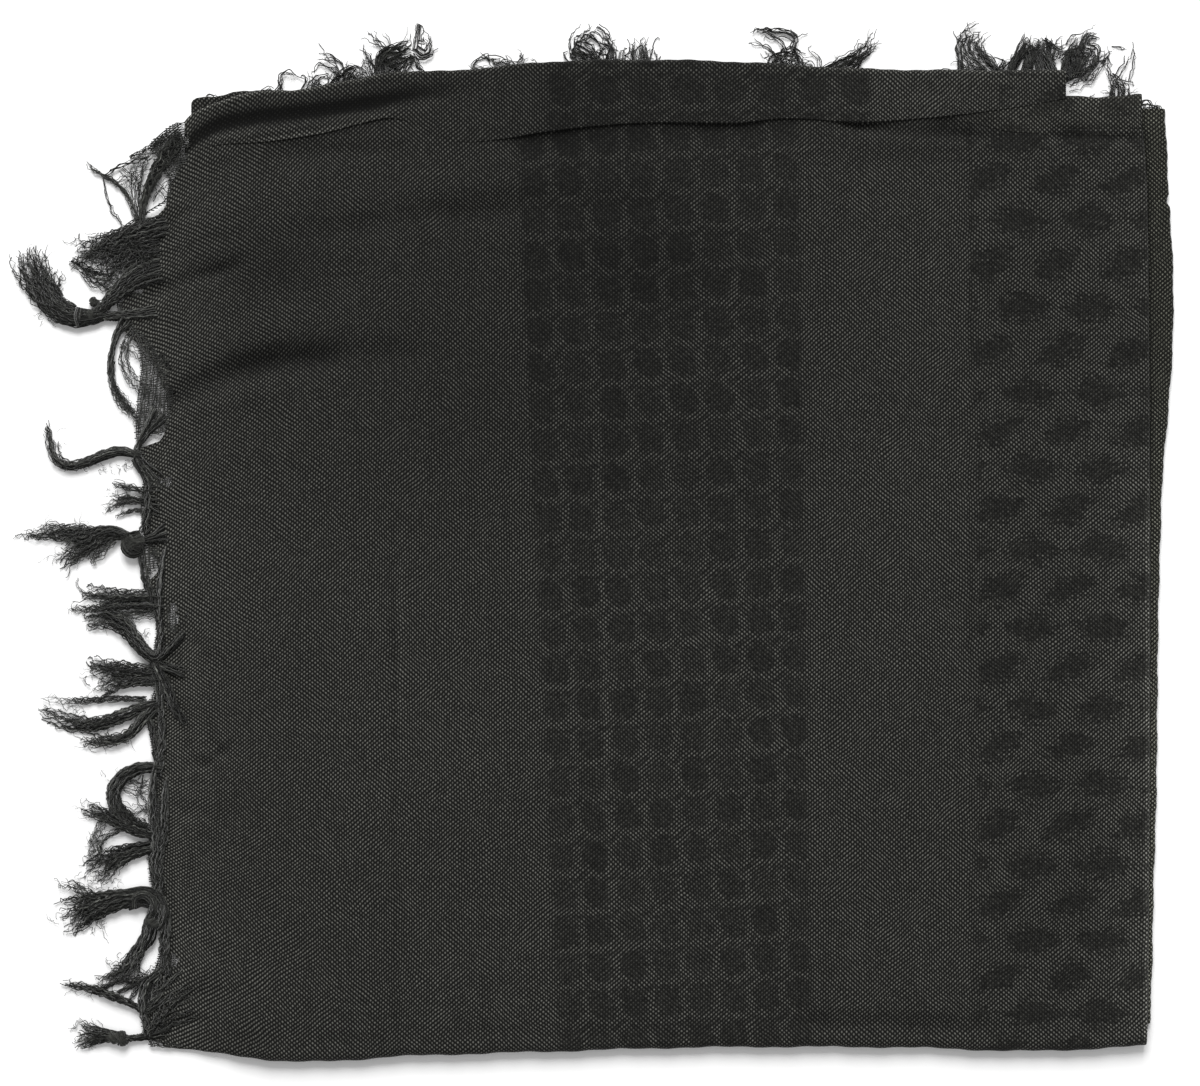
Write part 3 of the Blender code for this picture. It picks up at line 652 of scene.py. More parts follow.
def leaf_pattern(tree, column, row, u, v, ragged):
    """Streaky eye-shaped floats: level ones, and tilted ones half a repeat away."""
    warp = noise(tree, joined(tree, u, v), 0.07, 2.0)
    streak = noise(tree, joined(tree, u * 0.07, v * 0.75, 4.0), 1.0, 1.0)
    a = column.off_whole() * LEAF_PITCH_X
    b = row.off_whole() * LEAF_PITCH_Y + warp * 2.2
    level = (b * (1 / 8.6)).size() + (a * (1 / 17.0)).to(2.0)
    level = (level + streak * 0.75 + ragged * 0.35).step(0.50, 1.25, 1.0, 0.0)
    a = (column - 0.53).off_whole() * LEAF_PITCH_X
    b = (row - 0.5).off_whole() * LEAF_PITCH_Y + warp * 2.2
    across = b * cos(LEAF_TILT) - a * sin(LEAF_TILT)
    along = a * cos(LEAF_TILT) + b * sin(LEAF_TILT)
    tilted = (across * (1 / 8.0)).size() + (along * (1 / 16.6)).to(2.0)
    tilted = (tilted + streak * 0.75 + ragged * 0.35).step(0.50, 1.25, 1.0, 0.0)
    return level.at_least(tilted)


def cloth_material(name, tint, gain, motifs=False, ribs=False):
    """Plain-woven cotton: pale crowns on dark gaps, uneven yarns and, where asked, figures or ribs."""
    made, tree, shader = blank_material(name, 0.9, 0.08)
    u, v, _ = parts_of(tree, "weave")
    # a mesh attribute that brings wear together with painted highlights and painted shade
    painted_light_and_wear = number_of(tree, "painted_light_and_wear")
    slow = joined(tree, u, v)
    shift_u = noise(tree, slow, 0.045, 3.0)
    shift_v = noise(tree, joined(tree, u, v, 31.0), 0.05, 3.0)
    warp = u * (1 / THREAD_X) + shift_u * 0.8
    weft = v * (1 / THREAD_Y) + shift_v * 0.8
    drift = noise(tree, joined(tree, u, v, 73.0), 0.05, 2.0) * 0.9
    one, other = (warp - weft).sin(pi, pi / 2), (warp + weft).sin(pi, pi / 2)
    crown = (one - other + (one + other) * drift) * 0.5
    ridges = (warp.sin(2 * pi, pi / 2) * 0.40 + weft.sin(2 * pi, pi / 2) * 0.14) * -1.0
    cell = joined(tree, warp.math("FLOOR"), weft.math("FLOOR"))
    chance = scatter(tree, cell)
    # painted highlights on the threads' crowns and painted shade in the gaps between them; the same relief
    # drives the bump
    lit = ((crown + ridges) * 0.56 + 0.44).at_least(0.0).to(1.9)
    figure = None
    if motifs:
        ragged = chance - 0.5
        column, row, band = parts_of(tree, "dots")
        figure = dot_pattern(tree, column, row, u, v, ragged) * band
        column, row, band = parts_of(tree, "leaves")
        figure = figure.at_least(leaf_pattern(tree, column, row, u, v, ragged) * band)
    weft_yarn = noise(tree, joined(tree, u * 0.012, v * 0.8), 1.0, 2.0)
    warp_yarn = noise(tree, joined(tree, u * 0.7, v * 0.01, 9.0), 1.0, 2.0)
    patch = noise(tree, joined(tree, u, v, 57.0), 0.012, 3.0)
    value = lit * (chance * 0.6 + 0.7) * 0.072 + 0.0014
    if ribs:
        rib = (v * (1 / THREAD_Y) + (u * (1 / 11.0)).off_whole().size() * 9.0).sin(2 * pi)
        value = value * (rib * 0.5 + 1.0)
    if figure is not None:
        floats = noise(tree, joined(tree, u * 0.14, v * 1.25, 5.0), 1.0, 2.0)
        fine = (warp.sin(2 * pi, 0.6) * weft.sin(2 * pi, 0.9) * 0.0030 + 0.0046) * (chance + 0.5)
        fine = fine * (floats * 0.75 + 1.0).at_least(0.1)
        value = value + (fine + value * 0.28 - value) * figure
    value = value * ((weft_yarn + warp_yarn) * 0.12 + 1.0) * (patch * 0.10 + 1.0)
    # brightened and darkened by wear and by painted light and shade
    value = (value * (painted_light_and_wear + 1.0) * gain).at_least(0.002)
    tree.links.new(tinted(tree, value, tint), shader.inputs["Base Color"])
    bumped(tree, shader, lit + weft_yarn * 0.2, 0.00016)
    return made


def yarn_material(name, tint, gain):
    """Loose cotton yarn: each strand its own shade, with a soft nap."""
    made, tree, shader = blank_material(name, 0.85, 0.25)
    tone = number_of(tree, "tone")
    place = tree.nodes.new("ShaderNodeTexCoord").outputs["Object"]
    grain = noise(tree, place, 900.0, 1.0)
    value = (tone * 0.0175 + 0.003) * (grain * 0.45 + 1.0) * gain
    tree.links.new(tinted(tree, value.at_least(0.004), tint), shader.inputs["Base Color"])
    bumped(tree, shader, grain, 0.0002)
    return made


TOP_CLOTH = cloth_material("top_cotton", (1.0, 1.0, 0.90), 1.02, motifs=True)
STEP_CLOTH = cloth_material("step_cotton", (1.0, 1.0, 0.88), 1.10, motifs=True)
FOLD_CLOTH = cloth_material("fold_cotton", (0.99, 1.0, 0.82), 1.0, ribs=True)
LOWER_CLOTH = cloth_material("lower_cotton", (1.0, 1.0, 0.90), 0.9)
YARN = yarn_material("tassel_cotton", (0.97, 1.0, 0.90), 1.0)

# ---------------------------------------------------------------- top cloth

# Where a row of dots and the rows of leaves lie on the panel, and how far apart the dots' rows are.
DOT_ROWS_Y = 13.0
DOT_PITCH_Y = 20.8
LEAF_ROWS = (
    (-303.5, -7), (-261.4, -6), (-221, -5), (-179.5, -4), (-134.6, -3), (-92.5, -2), (-47.6, -1), (-4.4, 0),
    (39.9, 1), (81.4, 2), (129, 3), (177.8, 4), (222, 5), (266, 6),
)


def pattern_data(x, y, in_strip):
    """Where each point lies in the figured bands: (column, row, share of band) for each."""
    down = (189.4 - y) / 330.6
    first, pitch = -33.0 + 14.7 * down, 20.16 - 1.38 * down
    column = np.where(in_strip, (x + 16.9) / 23.2, (x - first) / pitch)
    row = np.where(in_strip, y - 249.8, y - 0.06 * x - DOT_ROWS_Y) / DOT_PITCH_Y
    band = smooth((column + 0.42) / 0.1) * (1 - smooth((column - 7.28) / 0.1))
    lean = 8.0 * smooth((y - 20.0) / 150.0)
    leaf_row = np.interp(y, [r[0] for r in LEAF_ROWS], [r[1] for r in LEAF_ROWS])
    starts = np.where(in_strip, 224.0, 211.0 - 0.5 * lean)
    leaves = points_at((x - 243.5 + lean) / LEAF_PITCH_X, leaf_row, smooth((x - starts) / 3.0))
    return points_at(column, row, band), leaves


def painted_light_and_wear_at(x, y):
    """Paler and darker stretches: threads thin out at the left edge; painted highlights on the folds and the
    strip's rims, painted shade in the trough and creases, and a painted shadow under the strip.
    """
    panel_top = curve(PANEL_TOP, x)
    on_panel = y < panel_top
    below = np.maximum(panel_top - y, 0)
    above = y - curve(STRIP_FOOT, x)
    to_fold = curve(RIGHT_FOLD, y) - x
    to_top = curve(TOP_FOLD, x) - y
    creases = np.where(on_panel, relief(PANEL_CREASES, x, y), relief(STRIP_CREASES, x, y))
    at_crease = smooth((x + 196) / 25) * (1 - smooth((x + 122) / 14))
    under_seam = smooth((26 - y) / 30)
    paler = (
        # the thin cloth by the left edge, a painted highlight on the right fold's line, and paler cloth near
        # that fold
        0.38 * bell(np.maximum(inward(x, y), 0), 26),
        (1.5 - 1.25 * smooth((y - 15) / 30)) * bell(to_fold - 1.3, 1),
        (0.10 + 0.34 * smooth((90 - y) / 90)) * bell(to_fold, 24),
        # the panel towards its foot, the strip towards its right, and painted highlights on the rims of the
        # strip
        0.10 * smooth((190 - y) / 400) - 0.04,
        np.where(on_panel, 0.0, 0.10 * smooth((x + 70) / 60)),
        (0.25 + 0.65 * (1 - smooth((x + 165) / 80))) * bell(to_top - 0.8, 1.3) * (y > panel_top + 2),
        0.75 * at_crease * bell(above - 1.2, 1.4) * (above > 0),
        # painted shade and painted highlights in lines along old creases that run up the cloth
        -0.30 * bell(x + 110.5 + 0.006 * y, 0.8) * under_seam,
        0.25 * bell(x + 106, 0.9) * under_seam * smooth((y + 140) / 40),
        -0.30 * bell(x - 209.8 + 0.004 * y, 0.8),
        0.22 * bell(x - 5 - 0.02 * (20 - y), 1.3) * smooth((60 - y) / 30),
        0.20 * bell(x - 124.5, 1.2) * smooth((-45 - y) / 15) * smooth((y + 115) / 25),
    )
    darker = (
        # painted shade in the strip's trough and in the creases
        0.88 * np.minimum(1.35 * trough_at(x, y + 0.6), 1.0),
        np.minimum(0.13 * creases, 0.64),
        # broad painted shade, by the left edge, in the middle and under the crease at the right
        0.36 * bell(x + 176, 32) * bell(y - 152, 17),
        0.30 * bell(x - 35, 60) * bell(y - 152, 26),
        0.30 * bell(x + 38, 135) * smooth((y + 40) / 130),
        0.26 * bell(x - 185, 45) * bell(y - 217, 9),
        0.34 * bell(x - 196, 30) * bell(y - 229.5, 4 + 0.05 * np.maximum(x - 150, 0)),
        # the painted shadow that the strip throws on the panel
        0.34 * at_crease * bell(np.minimum(above, 0), 3.6) * (above <= 0),
        0.20 * bell(below, 15) * smooth((x + 60) / 50) * (1 - smooth((x - 120) / 50)),
    )
    shade = 1 + sum(paler)
    for share in darker:
        shade = shade * (1 - share)
    return shade - 1


TOP_COLUMNS = graded((0, 54, 1.35), (54, 70, 2.0), (70, 520, 2.35), (520, 546, 1.8)) / 546.0
PANEL_ROWS = graded((0, 24, 1.6), (24, 90, 2.4), (90, 420, 2.5), (420, 476, 2.0), (476, 504, 1.25)) / 504.0
RIGHT_TURN = np.radians(np.linspace(0, 180, 13)[1:])
# Past these places the cloth between panel and strip, and then the strip itself, end.
PLEAT_END_X = 171
STRIP_END_X = 262


def bottom_line(x):
    """The bottom fold's edge, with its small waves."""
    return curve(BOTTOM_EDGE, x) + 0.35 * np.sin(x * 0.11) + 0.2 * np.sin(x * 0.37 + 2.0)


def across_panel(share):
    """The columns' places at a share of the way up the panel, from the worn edge to the right fold."""
    left_y = FOOT_Y + (LEFT_TOP_Y - FOOT_Y) * share
    right_y = FOOT_Y + (RIGHT_TOP_Y - FOOT_Y) * share
    left = curve(WORN_EDGE, left_y) + curve(GAUZE, left_y)
    left = left + 0.45 * np.sin(left_y * 0.9) + 0.35 * np.sin(left_y * 2.3 + 1.0)
    right = curve(RIGHT_FOLD, right_y) - RIGHT_RADIUS
    return left + (right - left) * TOP_COLUMNS


class TopRows:
    """The top cloth's rows of points, each turned under at the right fold."""

    def __init__(self):
        self.points, self.weave_v, self.in_strip, self.drops = [], [], [], []

    def lay(self, x, y, z, v, in_strip=False, drop=1.0):
        """One row, with its place v in the weave and how much of the turn it takes."""
        fold_x = x[-1] + RIGHT_RADIUS * np.sin(RIGHT_TURN)
        fold_x = np.append(fold_x, fold_x[-1] - 4.0)
        ends = np.ones_like(fold_x)
        y, z, v = y + 0 * x, z + 0 * x, v + 0 * x
        leaned = v + curve(LEAN, y) * np.maximum(-120.0 - x, 0) ** 2 / 190.0
        self.points.append(np.concatenate([points_at(x, y, z), points_at(fold_x, y[-1], z[-1])]))
        self.weave_v.append(np.concatenate([leaned, v[-1] * ends]))
        self.in_strip.append(in_strip)
        self.drops.append(drop)

    def lay_panel(self):
        """Round the bottom fold and up to the crease."""
        x = across_panel(0.0)
        radius = panel_height(x, bottom_line(x) + PILE / 2) / 2
        start = bottom_line(x) + radius
        for reach in (26.0, 14.0, 6.0):
            self.lay(x, start + reach, LEAST_Z, start - reach - pi * radius, drop=0.0)
        for angle in np.radians(np.linspace(180, 0, 17)):
            height = np.maximum(radius * (1 + cos(angle)), LEAST_Z)
            y = start - radius * sin(angle)
            self.lay(x, y, height, start - radius * angle, drop=(1 + cos(angle)) / 2)
        for share in PANEL_ROWS[1:]:
            x = across_panel(share)
            start = bottom_line(x) + panel_height(x, bottom_line(x) + PILE / 2) / 2
            y = start + (curve(PANEL_TOP, x) - start) * share
            self.lay(x, y, panel_height(x, y), y)

    def lay_strip(self):
        """Under the strip, out round its lip and over the top; returns the rows where lap and lip start."""
        x = across_panel(1.0)
        edge, foot, lap = curve(PANEL_TOP, x), curve(STRIP_FOOT, x), curve(LAP, x)
        low = panel_height(x, edge)
        back = low + (9.55 - low) * smooth((x - 196.0) / 16.0)
        tuck = 9.0 * lap + 0.1
        bend = np.maximum(strip_height(x, foot) - back, 0.08 + 0.27 * lap) / 4
        for share in (0.25, 0.5, 0.75, 1.0):
            self.lay(x, edge + tuck * share, low - 0.25 * share * lap, edge + tuck * share)
        lap_start = len(self.points)
        for angle in np.radians((45, 90, 135, 180)):
            y = edge + tuck + bend * sin(angle)
            self.lay(x, y, low + bend * (1 - cos(angle)), edge + tuck, True)
        for share in (0.35, 0.7):
            y = edge + tuck + (foot + bend - edge - tuck) * share
            self.lay(x, y, back + 2 * bend, foot - 2.0, True)
        lip_start = len(self.points)
        for angle in np.radians(np.linspace(0, 180, 9)):
            height = back + 2 * bend + bend * (1 - cos(angle))
            self.lay(x, foot + bend - bend * sin(angle), height, foot - bend * (1 - angle / pi) * 2, True)
        fold = curve(TOP_FOLD, x) + 0.3 * np.sin(x * 0.13 + 1.0) + 0.15 * np.sin(x * 0.5)
        radius = np.minimum(TOP_RADIUS, 0.26 * strip_height(x, fold))
        top = np.maximum(fold - radius, foot + bend + 0.5)
        for share in np.linspace(0, 1, 27)[1:]:
            y = foot + bend + (top - foot - bend) * share
            self.lay(x, y, strip_height(x, y), y, True)
        height = strip_height(x, top)
        for angle in RIGHT_TURN:
            y, z = top + radius * sin(angle), height - radius * (1 - cos(angle))
            self.lay(x, y, z, top + radius * angle, True)
        for reach in (3.0, 8.0):
            self.lay(x, top - reach, height - 2 * radius, top + radius * pi + reach, True)
        return lap_start, lip_start


def top_cloth():
    """The panel and the strip in one sheet."""
    rows = TopRows()
    rows.lay_panel()
    lap_start, lip_start = rows.lay_strip()
    grid, weave_v = np.array(rows.points), np.array(rows.weave_v)
    count = len(TOP_COLUMNS)
    around = np.append(RIGHT_RADIUS * (1 - np.cos(RIGHT_TURN)), 2 * RIGHT_RADIUS)
    grid[:, count:, 2] -= np.array(rows.drops)[:, None] * around[None, :]
    grid[..., 2] = np.maximum(grid[..., 2], LEAST_Z)
    x, y = grid[..., 0], grid[..., 1]
    weave_u = x.copy()
    weave_u[:, count:] = x[:, count - 1:count] + np.append(RIGHT_RADIUS * RIGHT_TURN, RIGHT_RADIUS * pi + 4)
    in_strip = np.array(rows.in_strip)[:, None] & np.ones_like(x, bool)
    dots, leaves = pattern_data(weave_u, weave_v, in_strip)
    missing = np.zeros((grid.shape[0] - 1, grid.shape[1] - 1), bool)
    missing[lap_start - 1:lip_start, :] |= x[-1, :-1] > PLEAT_END_X
    missing[lap_start - 1:, :] |= x[-1, :-1] > STRIP_END_X
    for at_x, at_y, half_x, half_y in WORN_PATCHES:
        inside = ((x - at_x) / half_x) ** 2 + ((y - at_y) / half_y) ** 2 < 1
        missing |= inside[:-1, :-1] & (x[:-1, :-1] < -200)
    weave = points_at(weave_u, weave_v, 0.0)
    # colour data: wear at the thin left edge, with painted highlights, painted shade and a painted shadow
    data = {"weave": weave, "dots": dots, "leaves": leaves, "painted_light_and_wear": painted_light_and_wear_at(weave_u, y)}
    made = grid_piece("top_cloth_sheet", grid, data, TOP_CLOTH, missing)
    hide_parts("top_panel", "top_fold_strip")
    return made


def plain_data(grid):
    """Weave data for a sheet whose threads run with the axes."""
    run_x, run_y = np.zeros(grid.shape[:2]), np.zeros(grid.shape[:2])
    run_x[:, 1:] = np.linalg.norm(np.diff(grid, axis=1), axis=2).cumsum(1)
    run_y[1:] = np.linalg.norm(np.diff(grid, axis=0), axis=2).cumsum(0)
    weave = points_at(run_x + grid[0, 0, 0], run_y + grid[0, 0, 1], 0.0)
    return {"weave": weave, "painted_light_and_wear": np.zeros_like(run_x)}


def corner_step():
    """The ply in the notch: it rises softly from the panel's edge and turns under at its top."""
    xs = graded((198, 304.5, 1.8))
    foot = curve(PANEL_TOP, xs) - 2.5
    floor_z = panel_height(xs, foot) + 0.12
    top = curve(STEP_TOP, xs) - STEP_RADIUS + 0.2 * np.sin(xs * 0.4)
    rows = []
    for share in np.linspace(0, 1, 20):
        y = foot + (top - foot) * share
        z = floor_z + (STEP_HEIGHT - floor_z) * smooth((y - foot) / 7.5) + 0.15 * np.sin(xs * 0.12 + y * 0.3)
        rows.append(points_at(xs, y, z))
    for angle in np.radians(np.linspace(0, 180, 11)[1:]):
        rows.append(points_at(xs, top + STEP_RADIUS * sin(angle), z - STEP_RADIUS * (1 - cos(angle))))
    rows.append(points_at(xs, top - 5.0, z - 2 * STEP_RADIUS))
    grid = np.array(rows)
    grid[..., 2] -= 1.6 * smooth((xs - 299.0) / 5.5) ** 2
    x, y = grid[..., 0], grid[..., 1]
    run_y = plain_data(grid)["weave"][..., 1]
    weave_v = run_y - run_y[0] + foot
    dots, leaves = pattern_data(x, weave_v, False)
    leaves = leaves * (1, 1, 0.8)
    # a painted highlight along the right fold, painted shade in a soft patch and along the foot, and painted
    # highlights in lines along the top fold
    painted_light_and_wear = 0.35 * bell(302.5 - x, 2.0) - 0.02
    painted_light_and_wear = painted_light_and_wear - 0.30 * bell(x - 205, 24) * bell(y - 231, 6)
    painted_light_and_wear = painted_light_and_wear - 0.25 * bell(y - foot - 1.5, 2) * smooth((x - 240) / 20)
    for inset, share in ((-1.0, 0.7), (0.8, 0.6), (2.6, 0.5), (4.6, 0.3)):
        painted_light_and_wear = painted_light_and_wear + share * bell(y - top + inset, 0.55) * smooth((x - 258) / 15)
    data = {"weave": points_at(x, weave_v, 0.0), "dots": dots, "leaves": leaves, "painted_light_and_wear": painted_light_and_wear}
    made = grid_piece("corner_step_sheet", grid, data, STEP_CLOTH)
    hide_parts("corner_step")
    return made


def second_fold():
    """The lower pair's fold: an upper leaf, a full round down to the surface and back under."""
    radius = SECOND_HEIGHT / 2
    rows = []
    for y in graded((-268, 200, 2.4), (200, 240, 1.2)):
        reach = float(curve(SECOND_FOLD, y)) + 0.25 * sin(y * 0.21) + 0.2 * sin(y * 0.8)
        if 186 < y < 192:
            reach -= 1.6
        section = [(-30.0, 2 * radius - 0.6), (-24.0, 2 * radius - 0.2)]
        for inset in (15, 13, 11, 9, 7.5, 6, 4.5, 3, 1.5):
            section.append((-radius - inset, 2 * radius + 0.25 * sin(inset * 0.8 + y * 0.05)))
        for angle in np.radians(np.linspace(0, 180, 15)):
            section.append((radius * (sin(angle) - 1), radius * (1 + cos(angle))))
        section += [(-radius - inset, 0.0) for inset in (5, 14, 30)]
        rows.append([(reach + inwards, y, max(height, 0.1)) for inwards, height in section])
    grid = np.array(rows)
    x, y = grid[..., 0], grid[..., 1]
    run_x = plain_data(grid)["weave"][..., 0]
    paler = 0.05 + 0.5 * smooth((120 - y) / 120) + 1.1 * smooth(-y / 170) + 0.4 * smooth((y - 222) / 14)
    # painted shade along the top pair's fold edge, where it overhangs this cloth
    painted_fold_shadow = 0.6 * smooth((y - 15) / 25) * bell(x - curve(RIGHT_FOLD, y), 2.2)
    weave = points_at(x[:, :1] + run_x - run_x[:, :1], y, 0.0)
    data = {"weave": weave, "painted_light_and_wear": (1 + paler) * (1 - painted_fold_shadow) - 1}
    made = grid_piece("second_fold_sheet", grid, data, FOLD_CLOTH)
    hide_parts("second_fold")
    return made


# Loops of thread where the second fold's cloth ends, as (x, y) keys.
FRINGE_LOOPS = (
    ((304, 238), (304.5, 242), (306.5, 245), (309.5, 244), (311, 240), (310, 237)),
    ((306, 238), (306.5, 242), (309, 242.5), (309, 238)),
    ((303, 241), (307, 242.5), (312, 241.5), (317, 239.5)),
    ((303, 239.5), (308, 240.5), (313, 240.5), (317.4, 238.4)),
    ((311, 238), (312.5, 241.5), (315, 241), (316, 238)),
)


def second_fold_fringe():
    """Loose threads where the second fold's cloth ends, above the panel's corner."""
    yarns = Yarns()
    roots = np.stack([rng.uniform(304, 316, 16), rng.uniform(236, 239, 16)], axis=-1)
    frizz(yarns, roots, 92, 70, 7.0, 4.0, radius=0.24, z=(2.5, 5.0))
    for line in FRINGE_LOOPS:
        run_yarns(yarns, [(x, y, 4.6, 0.35) for x, y in line], 3, 0.26, 0.4, 0.1)
    made = yarns.piece("second_fold_fringe")
    return made


def lower_corner():
    """The rounded corner of a lower ply, at the top left, and its edge along the fold."""
    xs = np.concatenate([[-223.2, -223.0, -222.6], np.linspace(-222, -176, 26)])
    top = curve(CORNER_TOP, xs) + 0.15 * np.sin(xs * 0.9)
    rows = []
    for share in (0, 0.2, 0.4, 0.6, 0.75, 0.86, 0.94, 0.98, 1.0):
        y = 236 + (top - 236) * share
        drop = 0.9 * smooth((share - 0.93) / 0.07) + 0.9 * (1 - smooth((xs + 223.2) / 0.8))
        rows.append(points_at(xs, y, 2.2 + 0.15 * np.sin(xs * 0.4 + y) - drop))
    grid = np.array(rows)
    made = grid_piece("lower_corner_sheet", grid, plain_data(grid), LOWER_CLOTH)
    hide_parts("lower_corner")
    return made


def inner_ply(name, level, inset, ragged):
    """One hidden ply at a share of the pile's height; level 0 is the ply that rests on the surface."""
    rows_at = columns = graded((0, 1, 0.02))
    foot_inset, right = 6.0, 306.0
    if level:
        rows_at = graded((0, 0.06, 0.004), (0.06, 0.9, 0.02), (0.9, 1.0, 0.006))
        columns = graded((0, 0.06, 0.004), (0.06, 1.0, 0.02))
        foot_inset, right = PILE / 2 + 1, 296.0
    rows = []
    for share in rows_at:
        y_side = FOOT_Y + 6 + (RIGHT_TOP_Y - FOOT_Y - 6) * share
        waves = sin(y_side * 0.7) + 0.6 * sin(y_side * 1.9)
        left = float(curve(LEFT_EDGE, y_side)) + inset + ragged * waves
        x = left + (right - left) * columns
        low = curve(BOTTOM_EDGE, x) + foot_inset
        high = np.minimum(curve(TOP_FOLD, x) - 6.0, np.where(x > 205, curve(STEP_TOP, x) - 5.0, 999.0))
        y = low + (high - low) * share
        over = np.minimum(panel_height(x, np.minimum(y, curve(PANEL_TOP, x) - 12)), pile_at(x, y)) - 0.9
        rows.append(points_at(x, y, 0.22 + (over - 0.22) * level))
    grid = np.array(rows)
    made = grid_piece(name, grid, plain_data(grid), LOWER_CLOTH)
    return made


# ---------------------------------------------------------------- tassels and loose yarn

# A bundle of yarns along listed keys (x, y, z, half width).
Run = namedtuple("Run", "keys count radius curl fray shade", defaults=(1.0,))
# A few strands near the surface, spread evenly about a line of (x, y) keys.
Wisp = namedtuple("Wisp", "keys width count curl", defaults=(0.75,))
Knot = namedtuple("Knot", "x y z size angle")
# Curly strands that start anywhere in a box.
Frizz = namedtuple("Frizz", "x0 y0 x1 y1 heading spread length bend count radius", defaults=(0.17,))

